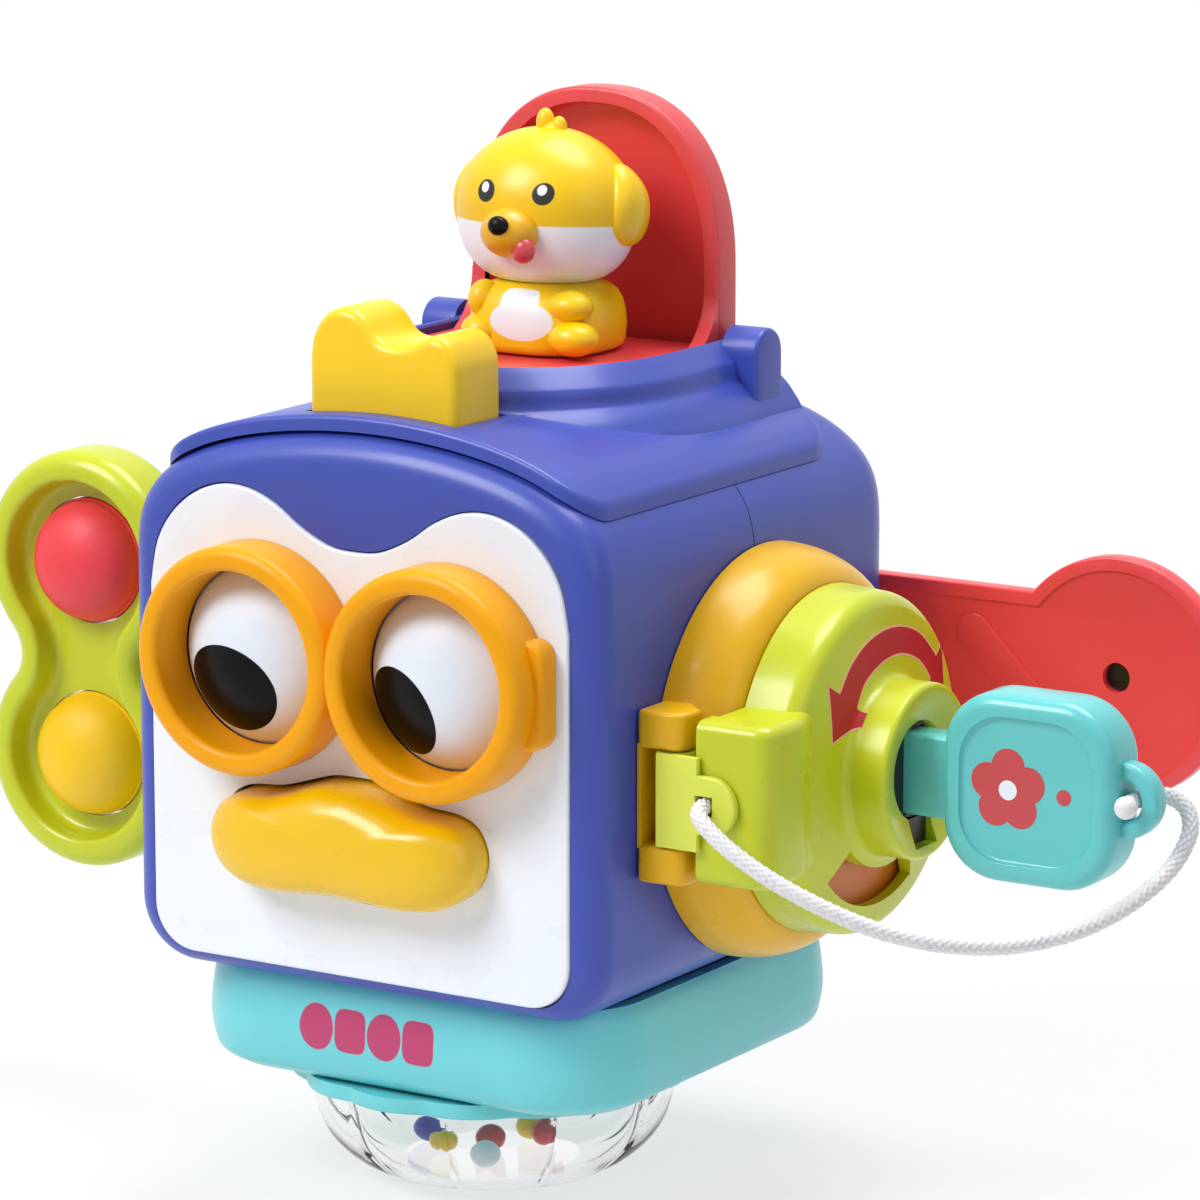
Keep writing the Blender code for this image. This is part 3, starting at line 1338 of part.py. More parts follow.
def make_bow():
    half = bow_thickness / 2
    bow = prism("bubble_handle", bow_outline(), side_axis_y - half, side_axis_y + half, "Y")
    bevel(bow, bow_edge, 2, 60.0)
    settle(bow)
    inner = bow_outline(-bow_rim)
    web = bow_web / 2
    dishes = [prism("dish", inner, side_axis_y - half - overrun, side_axis_y - web, "Y"),
              prism("dish", inner, side_axis_y + web, side_axis_y + half + overrun, "Y")]
    cut(bow, cluster("dishes", dishes))
    settle(bow)
    bores = [rod("bubble_bore", bubble_radius + gap, (x, y - half, z), (x, y + half, z), 28)
             for x, y, z in bubble_places()]
    inner_end = -half_width + wall + bush_length + gap + ratchet_width + gap
    stem = rod("stem", bow_stem_radius, (bow_x + bow_waist - bow_rim / 2, side_axis_y, side_axis_z),
               (inner_end, side_axis_y, side_axis_z), 20)
    cut(bow, cluster("bubble_bores", bores))
    join(bow, stem)
    finish(bow, LIME, (bow_x + bow_waist, side_axis_y, side_axis_z), roughness=0.28)
    for name, colour, (x, y, z) in zip(("red_bubble", "yellow_bubble"), (RED, YELLOW), bubble_places()):
        hollow = bubble_radius - bubble_wall
        crown = bubble_radius * bubble_height_share
        profile = [(bubble_radius * math.sin(math.pi / 2 * at / 4), -web - crown * math.cos(math.pi / 2 * at / 4))
                   for at in range(5)]
        profile += [(bubble_radius, web), (hollow, web)]
        profile += [(hollow * math.sin(math.pi / 2 * at / 4),
                     -web - (crown - bubble_wall) * math.cos(math.pi / 2 * at / 4)) for at in range(4, -1, -1)]
        bubble = turned(name, profile, (x, y, z), "Y", 24, closed=False)
        finish(bubble, colour, (x, y, z), roughness=0.45)


def make_bush():
    """Bush in the left wall with the post that carries the click leaf."""
    face = -half_width - gap
    inner = -half_width + wall + bush_length
    profile = [(bow_stem_radius + gap, face - bush_flange_thickness),
               (bush_flange_radius, face - bush_flange_thickness), (bush_flange_radius, face),
               (bush_radius, face), (bush_radius, inner), (bow_stem_radius + gap, inner)]
    bush = turned("handle_bush", profile, (0, side_axis_y, side_axis_z), "X", 28)
    post_low = side_axis_z + (bush_radius + bow_stem_radius) / 2
    leaf_z = side_axis_z + ratchet_radius + gap
    post = box("leaf_post", (inner - ratchet_width, side_axis_y - bow_stem_radius / 2, post_low),
               (inner - gap, side_axis_y + bow_stem_radius / 2, leaf_z + 2 * click_leaf))
    join(bush, post)
    finish(bush, LIME, roughness=0.4)
    leaf = box("click_leaf", (inner, side_axis_y - bow_stem_radius / 2, leaf_z),
               (inner + ratchet_width, side_axis_y + bow_stem_radius / 2, leaf_z + click_leaf))
    finish(leaf, STEEL, roughness=0.3, metallic=1.0)
    outline = []
    for tooth in range(ratchet_teeth):
        for share, radius in ((0.0, ratchet_radius - ratchet_depth), (0.75, ratchet_radius),
                              (0.95, ratchet_radius - ratchet_depth * 0.9)):
            angle = 2 * math.pi * (tooth + share) / ratchet_teeth
            outline.append((side_axis_y + radius * math.cos(angle), side_axis_z + radius * math.sin(angle)))
    wheel = prism("handle_ratchet", outline, inner + gap, inner + gap + ratchet_width, "X")
    bore = rod("ratchet_bore", bow_stem_radius + gap, (inner - overrun, side_axis_y, side_axis_z),
               (inner + ratchet_width + overrun, side_axis_y, side_axis_z), 20)
    cut(wheel, bore)
    finish(wheel, WHITE, (inner, side_axis_y, side_axis_z), roughness=0.4)


# Rear flap

def flap_lug(side):
    """One of the two hinge lugs on the rear shell, above and below the flap's knuckle."""
    low, high = sorted((flap_z + side * (flap_knuckle_half + gap), flap_z + side * flap_arm_half_height))
    root = half_depth - wall
    outline = [(flap_axis_x - flap_knuckle_radius, root), (flap_axis_x + flap_knuckle_radius * 0.6, root)]
    outline += arc((flap_axis_x, flap_axis_y), flap_knuckle_radius, 0, 180, 6)
    return prism("flap_lug", outline, low, high, "Z")


def flap_pin_hole(name):
    reach = flap_arm_half_height - flap_pin_radius
    return rod(name, flap_pin_radius + gap, (flap_axis_x, flap_axis_y, flap_z - reach),
               (flap_axis_x, flap_axis_y, flap_z + reach), 12)


def flap_outline(grow=0.0):
    radius = flap_radius + grow
    tall = flap_arm_half_height + grow
    start = flap_axis_x + flap_knuckle_radius + slide_gap - grow
    meet = math.degrees(math.asin(tall / radius))
    out = arc((flap_center_x, flap_z), radius, -180 + meet, 180 - meet, 28)
    return out + [(start, flap_z + tall), (start, flap_z - tall)]


def make_rear_flap():
    near = flap_axis_y - flap_knuckle_radius
    flap = prism("rear_flap", flap_outline(), near, near + flap_thickness, "Y")
    panel = prism("flap_panel", flap_outline(-flap_rim), near - overrun, near + flap_recess, "Y")
    cut(flap, panel)
    settle(flap)
    start = (flap_center_x - flap_radius - flap_bar_radius * 2, flap_z + flap_bar_radius * 1.5)
    end = (start[0] + flap_bar_run, start[1] - flap_bar_run)
    outline = arc(start, flap_bar_radius, 45, 225, 6) + arc(end, flap_bar_radius, 225, 405, 6)
    bar = prism("flap_bar", outline, near, near + flap_thickness / 2, "Y")
    knuckle = rod("flap_knuckle", flap_knuckle_radius, (flap_axis_x, flap_axis_y, flap_z - flap_knuckle_half),
                  (flap_axis_x, flap_axis_y, flap_z + flap_knuckle_half), 16)
    web = box("flap_web", (flap_axis_x, near + flap_thickness / 4, flap_z - flap_knuckle_half),
              (flap_axis_x + 2 * flap_knuckle_radius, near + flap_thickness, flap_z + flap_knuckle_half))
    join(flap, bar, knuckle, web)
    settle(flap)
    hole = rod("flap_hole", flap_hole_radius, (flap_center_x, near - overrun, flap_z),
               (flap_center_x, near + flap_hole_depth, flap_z), 20)
    cut(flap, hole, flap_pin_hole("flap_bore"))
    finish(flap, RED, (flap_axis_x, flap_axis_y, flap_z), roughness=0.3)
    reach = flap_arm_half_height - flap_pin_radius - gap
    pin = rod("flap_hinge_pin", flap_pin_radius, (flap_axis_x, flap_axis_y, flap_z - reach),
              (flap_axis_x, flap_axis_y, flap_z + reach), 12)
    finish(pin, STEEL, roughness=0.3, metallic=1.0)


# Base tray and rattle foot

def tray_form(name, inset, rise):
    sections = []
    for draw, share in zip(tray_side_insets, tray_side_shares):
        line = rounded_rectangle(tray_half_width - draw - inset, tray_half_depth - draw - inset,
                                 tray_corner - draw - inset, (0, 0), 4)
        height = tray_bottom_z + rise + (tray_height - rise) * share
        sections.append([(x, y, height) for x, y in line])
    if rise:
        sections.append([(x, y, z + overrun) for x, y, z in sections[-1]])
    return loft(name, sections)


def make_tray():
    tray = tray_form("base_tray", 0.0, 0.0)
    cut(tray, tray_form("tray_inside", tray_wall, tray_wall))
    top = tray_bottom_z + tray_height
    low = tray_bottom_z + tray_wall / 2
    posts = [rod("tray_post", post_radius, (x, y, low), (x, y, top), 12) for x, y in tray_post_places]
    boss_top = tray_bottom_z + axle_length
    posts.append(rod("axle_boss", axle_boss, (0, rattle_y, low), (0, rattle_y, boss_top), 16))
    join(tray, cluster("tray_posts", posts))
    settle(tray)
    seat = body_floor_z - gap - tray_height / 3
    wells = [rod("tray_well", screw_head_radius + gap, (x, y, tray_bottom_z - overrun), (x, y, seat), 12)
             for x, y in tray_post_places]
    shanks = [rod("tray_shank", screw_radius + gap, (x, y, seat - overrun), (x, y, top + overrun), 10)
              for x, y in tray_post_places]
    shanks.append(rod("axle_bore", axle_radius + gap, (0, rattle_y, tray_bottom_z - overrun),
                      (0, rattle_y, boss_top - tray_wall), 14))
    cut(tray, cluster("tray_wells", wells), cluster("tray_shanks", shanks))
    finish(tray, TEAL, roughness=0.3)


def ring_outline():
    """Scalloped edge of the rattle's ring."""
    out = []
    per = 4
    for at in range(rattle_ring_scallops * per):
        angle = 2 * math.pi * at / (rattle_ring_scallops * per)
        wave = abs(math.sin(angle * rattle_ring_scallops / 2))
        radius = rattle_ring_radius - rattle_ring_scallop * (1 - wave) * 1.6
        out.append((radius * math.cos(angle), rattle_y + radius * math.sin(angle)))
    return out


def make_rattle():
    top = tray_bottom_z - gap
    low = top - rattle_ring_height
    origin = (0, rattle_y, 0)
    ring = prism("rattle_ring", ring_outline(), low, top, "Z")
    room = rod("dome_room", dome_radius + gap, (0, rattle_y, low - overrun), (0, rattle_y, top - rattle_disc), 40)
    bore = rod("axle_clearance", axle_radius + gap, (0, rattle_y, low), (0, rattle_y, top + overrun), 14)
    cut(ring, room, bore)
    finish(ring, TEAL, origin, roughness=0.3)
    head = top - rattle_disc - gap
    profile = [(0.0, head - axle_head_height), (axle_head_radius, head - axle_head_height),
               (axle_head_radius, head), (axle_radius, head),
               (axle_radius, tray_bottom_z + axle_length - tray_wall - gap),
               (0.0, tray_bottom_z + axle_length - tray_wall - gap)]
    finish(turned("rattle_axle", profile, (0, rattle_y, 0), "Z", 16, closed=False), STEEL, roughness=0.3,
           metallic=1.0)
    dome_top = top - rattle_disc - gap
    per = 3
    count = dome_lobes * per
    sections = []
    for inset in (0.0, dome_wall):
        rings = []
        for run, rise in dome_shares:
            radius = foot_radius + (dome_radius - foot_radius) * run - inset
            height = dome_top * rise
            if inset:
                height = max(height * (dome_top - inset) / dome_top + inset, inset) if rise < 1.0 else dome_top
            ring_points = []
            for at in range(count):
                angle = 2 * math.pi * at / count
                dent = 1 - abs(math.sin(angle * dome_lobes / 2)) ** 0.6
                fade = min(4 * rise, 1.0) * min(4 * (1.0 - rise) + 0.15, 1.0)
                reach = radius * (1 - dome_groove_share * dent * fade)
                ring_points.append((reach * math.cos(angle), rattle_y + reach * math.sin(angle), height))
            rings.append(ring_points)
        sections.append(rings)
    dome = loft("rattle_dome", sections[0][::-1] + sections[1])
    finish(dome, CLEAR, origin, roughness=0.05, smooth=60.0)
    for number, (right, back) in enumerate(bead_shares, 1):
        reach = foot_radius - bead_radius / 2
        center = (right * reach, rattle_y + back * reach, dome_wall + gap + bead_radius)
        colour = (RED, "#2F4FC0", YELLOW, "#B5202C", YELLOW, TEAL)[number - 1]
        finish(ball("rattle_bead_%d" % number, center, (bead_radius,) * 3, 8, 6), colour, origin, roughness=0.2)


clear_scene()
make_front_shell()
make_rear_shell()
make_screws()
make_face_plate()
make_glasses()
make_eye("left", -1, left_gaze_yaw)
make_eye("right", 1, right_gaze_yaw)
make_eye_carrier()
make_beak()
make_squeaker()
make_top_cap()
make_well()
make_crest()
make_crest_spring()
make_lid()
make_puppy()
make_lock_ring()
make_lock_door()
make_hinge_knuckle()
make_lock_cylinder()
make_key()
make_cord()
make_bow()
make_bush()
make_rear_flap()
make_tray()
make_rattle()
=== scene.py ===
"""Looks of the toddler activity cube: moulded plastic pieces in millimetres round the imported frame."""

import math

import bmesh
import bpy
from mathutils import Matrix, Vector


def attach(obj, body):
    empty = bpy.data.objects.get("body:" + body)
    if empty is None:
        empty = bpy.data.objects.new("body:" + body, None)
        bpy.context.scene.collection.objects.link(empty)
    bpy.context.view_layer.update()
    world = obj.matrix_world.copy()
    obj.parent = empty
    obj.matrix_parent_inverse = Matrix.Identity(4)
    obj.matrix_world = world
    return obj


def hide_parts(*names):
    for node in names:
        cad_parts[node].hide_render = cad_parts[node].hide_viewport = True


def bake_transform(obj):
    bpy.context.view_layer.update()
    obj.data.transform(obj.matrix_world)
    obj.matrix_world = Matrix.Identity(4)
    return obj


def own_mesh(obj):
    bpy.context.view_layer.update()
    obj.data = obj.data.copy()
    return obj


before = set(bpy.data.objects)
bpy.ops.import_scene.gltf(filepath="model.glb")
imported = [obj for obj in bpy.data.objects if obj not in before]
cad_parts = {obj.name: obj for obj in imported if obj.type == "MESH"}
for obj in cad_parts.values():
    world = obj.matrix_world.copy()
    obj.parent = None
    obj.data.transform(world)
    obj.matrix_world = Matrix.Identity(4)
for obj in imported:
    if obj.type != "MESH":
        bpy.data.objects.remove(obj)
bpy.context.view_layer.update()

# Studio
# A white sweep and three soft boxes, as for a product picture on white.
# The camera stands a little to the right of the face and slightly above it.
camera_lens = 172.2
camera_distance = 1.24608
camera_turn = math.radians(32.23)
camera_tilt = math.radians(11.53)
camera_target = Vector((0.01489, 0.00939, 0.1244))
camera_data = bpy.data.cameras.new("camera")
camera_data.sensor_width = 36.0
camera_data.lens = camera_lens
camera_data.clip_end = 20.0
camera = bpy.data.objects.new("camera", camera_data)
bpy.context.scene.collection.objects.link(camera)
camera_way = Vector((math.sin(camera_turn) * math.cos(camera_tilt),
                     -math.cos(camera_turn) * math.cos(camera_tilt), math.sin(camera_tilt)))
camera.location = camera_target + camera_way * camera_distance
camera.rotation_euler = (-camera_way).to_track_quat("-Z", "Y").to_euler()
bpy.context.scene.camera = camera
bpy.context.scene.view_settings.view_transform = "Standard"


def srgb(code):
    """Turns a hex colour as seen on a screen to the linear colour that shaders take."""
    channels = []
    for at in (1, 3, 5):
        value = int(code[at:at + 2], 16) / 255
        channels.append(value / 12.92 if value <= 0.04045 else ((value + 0.055) / 1.055) ** 2.4)
    return (*channels, 1.0)


def add_node(tree, kind, settings=None, inputs=None, links=None):
    """Adds a node with its settings, its sockets' values and the sockets that feed it."""
    made = tree.nodes.new(kind)
    for name, value in (settings or {}).items():
        setattr(made, name, value)
    for name, value in (inputs or {}).items():
        made.inputs[name].default_value = value
    for name, source in (links or {}).items():
        tree.links.new(source, made.inputs[name])
    return made


def new_material(name, values):
    """A material whose shader's sockets have the values given."""
    material = bpy.data.materials.new(name)
    material.use_nodes = True
    shader = material.node_tree.nodes["Principled BSDF"]
    for socket, value in values.items():
        shader.inputs[socket].default_value = value
    return material, material.node_tree, shader


def backdrop_rays(tree):
    """1 on the rays of the eye, glass and gloss, to which the backdrop is plain white, and 0 on others."""
    ray = add_node(tree, "ShaderNodeLightPath")
    seen = ray.outputs["Is Camera Ray"]
    for kind in ("Is Transmission Ray", "Is Glossy Ray"):
        larger = add_node(tree, "ShaderNodeMath", {"operation": "MAXIMUM"},
                          links={0: seen, 1: ray.outputs[kind]})
        seen = larger.outputs["Value"]
    return seen


paper_whiteness = 0.7
paper_fade_start = 0.2
paper_fade_end = 0.5
paper_form = bmesh.new()
bmesh.ops.create_grid(paper_form, x_segments=1, y_segments=1, size=1.0)
paper_mesh = bpy.data.meshes.new("floor")
paper_form.to_mesh(paper_mesh)
paper_form.free()
floor = bpy.data.objects.new("floor", paper_mesh)
bpy.context.scene.collection.objects.link(floor)
paper_mat, paper_tree, paper_shader = new_material("floor_paper", {
    "Base Color": srgb("#F4F4F4"), "Roughness": 0.9})
# The paper fades into the white backdrop, and throws no more light for being seen whiter than it is
paper_reach = add_node(paper_tree, "ShaderNodeVectorMath", {"operation": "LENGTH"}, links={
    0: add_node(paper_tree, "ShaderNodeTexCoord").outputs["Object"]})
paper_fade = add_node(paper_tree, "ShaderNodeMapRange", {"interpolation_type": "SMOOTHSTEP"},
                      {"From Min": paper_fade_start, "From Max": paper_fade_end},
                      {"Value": paper_reach.outputs["Value"]})
paper_share = add_node(paper_tree, "ShaderNodeMath", {"operation": "MULTIPLY"}, {1: paper_whiteness},
                       {0: backdrop_rays(paper_tree)})
paper_white = add_node(paper_tree, "ShaderNodeEmission", inputs={"Color": (1, 1, 1, 1), "Strength": 1.0})
paper_bright = add_node(paper_tree, "ShaderNodeMixShader", links={
    0: paper_share.outputs["Value"], 1: paper_shader.outputs[0], 2: paper_white.outputs[0]})
paper_clear = add_node(paper_tree, "ShaderNodeBsdfTransparent")
paper_mix = add_node(paper_tree, "ShaderNodeMixShader", links={
    0: paper_fade.outputs["Result"], 1: paper_bright.outputs[0], 2: paper_clear.outputs[0]})
paper_tree.links.new(paper_mix.outputs[0], paper_tree.nodes["Material Output"].inputs["Surface"])
paper_mesh.materials.append(paper_mat)

world = bpy.data.worlds.new("studio")
bpy.context.scene.world = world
world.use_nodes = True
world_tree = world.node_tree
world_tree.nodes.clear()
room_light = add_node(world_tree, "ShaderNodeBackground", inputs={"Color": srgb("#F2F5FB"), "Strength": 0.36})
white_back = add_node(world_tree, "ShaderNodeBackground", inputs={"Color": (1, 1, 1, 1), "Strength": 1.0})
world_mix = add_node(world_tree, "ShaderNodeMixShader", links={
    0: backdrop_rays(world_tree), 1: room_light.outputs[0], 2: white_back.outputs[0]})
add_node(world_tree, "ShaderNodeOutputWorld", links={"Surface": world_mix.outputs[0]})

for name, place, aim_height, size, power in (("key_box", (-0.55, -1.0, 1.15), 0.12, (0.7, 0.7), 16.5),
                                             ("fill_box", (1.25, -0.45, 0.75), 0.12, (0.6, 0.9), 1.4),
                                             ("top_box", (0.1, 0.25, 1.35), 0.1, (0.9, 0.6), 13.5)):
    light = bpy.data.lights.new(name, "AREA")
    light.shape = "RECTANGLE"
    light.size, light.size_y = size
    light.energy = power
    lamp = bpy.data.objects.new(name, light)
    lamp.location = place
    lamp.rotation_euler = (Vector(place) - Vector((0, 0, aim_height))).to_track_quat("Z", "Y").to_euler()
    bpy.context.scene.collection.objects.link(lamp)

# Blue body shells
# Two deep ABS half shells, injection moulded with a light satin polish, parted at mid depth.
# The front one is sunk for the face plate; four long screws from the back hold them together.
MM = 0.001
merge_reach = 0.0005
body_half_width = 59.5
body_floor = 50.0
body_corner = 14.0
body_front = -62.2
body_back = 62.2
body_wall = 3.0
parting_gap = 0.15
shoulder_height = 135.4
crown_rise = 34.0
crown_side_power = 1.9
crown_top_power = 3.4
axle = (3, 98.1)
eye_x, eye_y, eye_z = 23.7, -49.0, 121.2
flap_pin = (49, 65.6)


def rounded(corners, closed=True, steps=8):
    """Outline through corners given as (x, y, radius), each turned into an arc."""
    out = []
    count = len(corners)
    for at, (x, y, radius) in enumerate(corners):
        here = Vector((x, y))
        if radius == 0 or (not closed and at in (0, count - 1)):
            out.append((x, y))
            continue
        before = (Vector(corners[at - 1][:2]) - here).normalized()
        after = (Vector(corners[(at + 1) % count][:2]) - here).normalized()
        half = before.angle(after) / 2
        middle = here + (before + after).normalized() * (radius / math.sin(half))
        start = here + before * (radius / math.tan(half)) - middle
        end = here + after * (radius / math.tan(half)) - middle
        for step in range(steps + 1):
            out.append(tuple(middle + start.slerp(end, step / steps) * radius))
    return out


def rounded_box(low, high, radius, steps):
    """Outline of a rectangle between two corners, rounded alike at all four."""
    return rounded([(low[0], low[1], radius), (high[0], low[1], radius), (high[0], high[1], radius),
                    (low[0], high[1], radius)], True, steps)


def arc(centre, radius, start, end, steps):
    """Points on an arc, by its angles in degrees."""
    out = []
    for step in range(steps + 1):
        angle = math.radians(start + (end - start) * step / steps)
        out.append((centre[0] + radius * math.cos(angle), centre[1] + radius * math.sin(angle)))
    return out


def slab(outline, axis, low, high):
    """A flat outline drawn on a plane square to an axis and pulled to a thickness."""
    form = bmesh.new()
    place = {"X": lambda a, b: (low, a, b), "Y": lambda a, b: (a, low, b), "Z": lambda a, b: (a, b, low)}[axis]
    face = form.faces.new([form.verts.new(place(a, b)) for a, b in outline])
    pulled = bmesh.ops.extrude_face_region(form, geom=[face])
    moved = [item for item in pulled["geom"] if isinstance(item, bmesh.types.BMVert)]
    step = [0, 0, 0]
    step["XYZ".index(axis)] = high - low
    bmesh.ops.translate(form, vec=step, verts=moved)
    bmesh.ops.remove_doubles(form, verts=form.verts, dist=merge_reach)
    bmesh.ops.recalc_face_normals(form, faces=form.faces)
    return form


def sharp_edges(form, where):
    """The edges that turn by more than 60 degrees, where a test on their middle holds."""
    out = []
    for edge in form.edges:
        if len(edge.link_faces) == 2 and edge.calc_face_angle() > math.radians(60):
            if where((edge.verts[0].co + edge.verts[1].co) / 2):
                out.append(edge)
    return out


def soften(form, edges, width, segments, clamp=True):
    """Rounds edges to a radius."""
    bmesh.ops.bevel(form, geom=edges, offset=width, segments=segments, profile=0.5, affect="EDGES",
                    material=-1, clamp_overlap=clamp)


def soft_slab(outline, axis, low, high, levels, width, segments, where=lambda a, b: True, clamp=True):
    """A slab with its edges on some levels rounded, where a test on their two ends holds."""
    form = slab(outline, axis, low, high)
    way = "XYZ".index(axis)
    edges = []
    for level in levels:
        edges += [edge for edge in form.edges if all(abs(vert.co[way] - level) < 0.01 for vert in edge.verts)
                  and where(edge.verts[0].co, edge.verts[1].co)]
    soften(form, edges, width, segments, clamp)
    return form


def carve(form, *cutters, operation="DIFFERENCE"):
    """Cuts one solid with others, one after the other, and returns the result."""
    for cutter in cutters:
        items = []
        for number, part in enumerate((form, cutter)):
            bmesh.ops.recalc_face_normals(part, faces=part.faces)
            mesh = bpy.data.meshes.new("carve_%d" % number)
            part.to_mesh(mesh)
            part.free()
            items.append(bpy.data.objects.new("carve_%d" % number, mesh))
            bpy.context.scene.collection.objects.link(items[-1])
        step = items[0].modifiers.new("carve", "BOOLEAN")
        step.operation = operation
        step.object = items[1]
        step.solver = "EXACT"
        bpy.context.view_layer.update()
        mesh = bpy.data.meshes.new_from_object(items[0].evaluated_get(bpy.context.evaluated_depsgraph_get()))
        for item in items:
            bpy.data.objects.remove(item, do_unlink=True)
        form = bmesh.new()
        form.from_mesh(mesh)
        bmesh.ops.remove_doubles(form, verts=form.verts, dist=merge_reach)
        bmesh.ops.dissolve_degenerate(form, edges=form.edges, dist=merge_reach)
        bpy.data.meshes.remove(mesh)
    return form


def fuse(form, *others):
    """Joins solids to one."""
    return carve(form, *others, operation="UNION")


def gather(*forms):
    """Several separate solids in one form."""
    whole = bmesh.new()
    for form in forms:
        mesh = bpy.data.meshes.new("gather")
        form.to_mesh(mesh)
        form.free()
        whole.from_mesh(mesh)
        bpy.data.meshes.remove(mesh)
    return whole


def rod(radius, start, end, segments=48):
    """A round bar between two points."""
    start = Vector(start)
    run = Vector(end) - start
    form = bmesh.new()
    bmesh.ops.create_cone(form, cap_ends=True, segments=segments, radius1=radius, radius2=radius,
                          depth=run.length)
    turn = Vector((0, 0, 1)).rotation_difference(run.normalized()).to_matrix().to_4x4()
    bmesh.ops.transform(form, matrix=Matrix.Translation(start + run / 2) @ turn, verts=form.verts)
    return form


def block(low, high):
    """A box between two corners."""
    form = bmesh.new()
    bmesh.ops.create_cube(form, size=1.0)
    bmesh.ops.scale(form, vec=Vector(high) - Vector(low), verts=form.verts)
    bmesh.ops.translate(form, vec=(Vector(high) + Vector(low)) / 2, verts=form.verts)
    return form


def make_piece(name, form, material, body, nodes=(), crease=32.0):
    """Scales a form to metres, shades it, gives it its material and rides it on its body."""
    bmesh.ops.recalc_face_normals(form, faces=form.faces)
    bmesh.ops.scale(form, vec=(MM, MM, MM), verts=form.verts)
    mesh = bpy.data.meshes.new(name)
    form.to_mesh(mesh)
    form.free()
    mesh.shade_smooth()
    mesh.set_sharp_from_angle(angle=math.radians(crease))
    piece = bpy.data.objects.new(name, mesh)
    bpy.context.scene.collection.objects.link(piece)
    mesh.materials.append(material)
    if body:
        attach(piece, body)
    if nodes:
        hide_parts(*nodes)
    return piece


def moulded_plastic(name, colour, roughness=0.3, coat=0.15, grain=0.35, shine=0.4):
    """Injection-moulded ABS: even colour through, a fine skin from the tool and slow waves of shrinkage."""
    material, tree, shader = new_material(name, {"IOR": 1.54, "Specular IOR Level": shine, "Coat Weight": coat,
                                                 "Coat Roughness": 0.12})
    place = add_node(tree, "ShaderNodeTexCoord")
    # Shrinkage waves, 12 mm across, and tool grain, 0.4 mm, drawn twice as coarse as real to show
    waves = add_node(tree, "ShaderNodeTexNoise", inputs={"Scale": 80.0, "Detail": 1.0},
                     links={"Vector": place.outputs["Object"]})
    skin = add_node(tree, "ShaderNodeTexNoise", inputs={"Scale": 2400.0, "Detail": 2.0},
                    links={"Vector": place.outputs["Object"]})
    gloss = add_node(tree, "ShaderNodeMapRange", inputs={
        "From Min": 0.3, "From Max": 0.7, "To Min": roughness - 0.04, "To Max": roughness + 0.05},
        links={"Value": waves.outputs["Fac"]})
    value = add_node(tree, "ShaderNodeMapRange", inputs={
        "From Min": 0.3, "From Max": 0.7, "To Min": 0.985, "To Max": 1.015},
        links={"Value": waves.outputs["Fac"]})
    shade = add_node(tree, "ShaderNodeHueSaturation", inputs={"Color": srgb(colour)},
                     links={"Value": value.outputs["Result"]})
    dents = add_node(tree, "ShaderNodeBump", inputs={"Strength": 0.12, "Distance": 0.0004},
                     links={"Height": waves.outputs["Fac"]})
    bump = add_node(tree, "ShaderNodeBump", inputs={"Strength": grain, "Distance": 0.00002},
                    links={"Height": skin.outputs["Fac"], "Normal": dents.outputs["Normal"]})
    tree.links.new(gloss.outputs["Result"], shader.inputs["Roughness"])
    tree.links.new(shade.outputs["Color"], shader.inputs["Base Color"])
    tree.links.new(bump.outputs["Normal"], shader.inputs["Normal"])
    return material


blue_abs = moulded_plastic("blue_moulded_abs", "#3A4CAC", 0.36, 0.1)


def crown_height(x):
    """Height of the body's crowned top over a point of its width."""
    share = min(abs(x) / body_half_width, 1.0)
    return shoulder_height + crown_rise * (1 - share ** crown_side_power) ** (1 / crown_top_power)


def body_outline(inset=0.0, steps=26):
    """The body seen from the front: round lower corners and a crowned top."""
    wide = body_half_width - inset
    corner = body_corner - inset
    right = arc((wide - corner, body_floor + inset + corner), corner, -90, 0, 12)
    for at in range(1, steps + 1):
        rise = math.sin(math.pi / 2 * at / steps)
        right.append((wide * (1 - rise ** crown_top_power) ** (1 / crown_side_power),
                      shoulder_height + (crown_rise - inset) * rise))
    return right + [(-x, z) for x, z in reversed(right[:-1])]


def smooth_line(points, closed=False, pieces=6):
    """Smooth curve through points, flat or in space."""
    count = len(points)
    out = []
    for at in range(count if closed else count - 1):
        near = []
        for step in (-1, 0, 1, 2):
            index = (at + step) % count if closed else min(max(at + step, 0), count - 1)
            near.append(Vector(points[index]))
        before, start, end, after = near
        for piece in range(pieces):
            t = piece / pieces
            out.append(tuple((2 * start + (end - before) * t
                              + (2 * before - 5 * start + 4 * end - after) * t ** 2
                              + (3 * start - before - 3 * end + after) * t ** 3) / 2))
    if not closed:
        out.append(tuple(points[-1]))
    return out


plate_half_width = 52.6
plate_low = 53.8
plate_corner = 10
plate_dip_height = 133.4
plate_lobe_rise = 23.0
plate_lobe_shares = [(0.0, 0.513), (0.12, 0.54), (0.255, 0.678), (0.38, 0.87), (0.51, 0.987), (0.645, 1.0),
                     (0.78, 0.89), (0.893, 0.674), (0.966, 0.39), (1.0, 0.0)]


def plate_outline(grow=0.0):
    """The face plate seen from the front: two lobes above and two round corners below."""
    wide = plate_half_width + grow
    low = plate_low - grow
    half = [(run * wide, plate_dip_height + rise * plate_lobe_rise + grow * (1 if rise else 0))
            for run, rise in plate_lobe_shares]
    top = smooth_line([(-x, z) for x, z in half[:0:-1]] + half, False, 5)
    corner = plate_corner
    return (top + arc((wide - corner, low + corner), corner, 0, -90, 10)
            + arc((-wide + corner, low + corner), corner, -90, -180, 10))


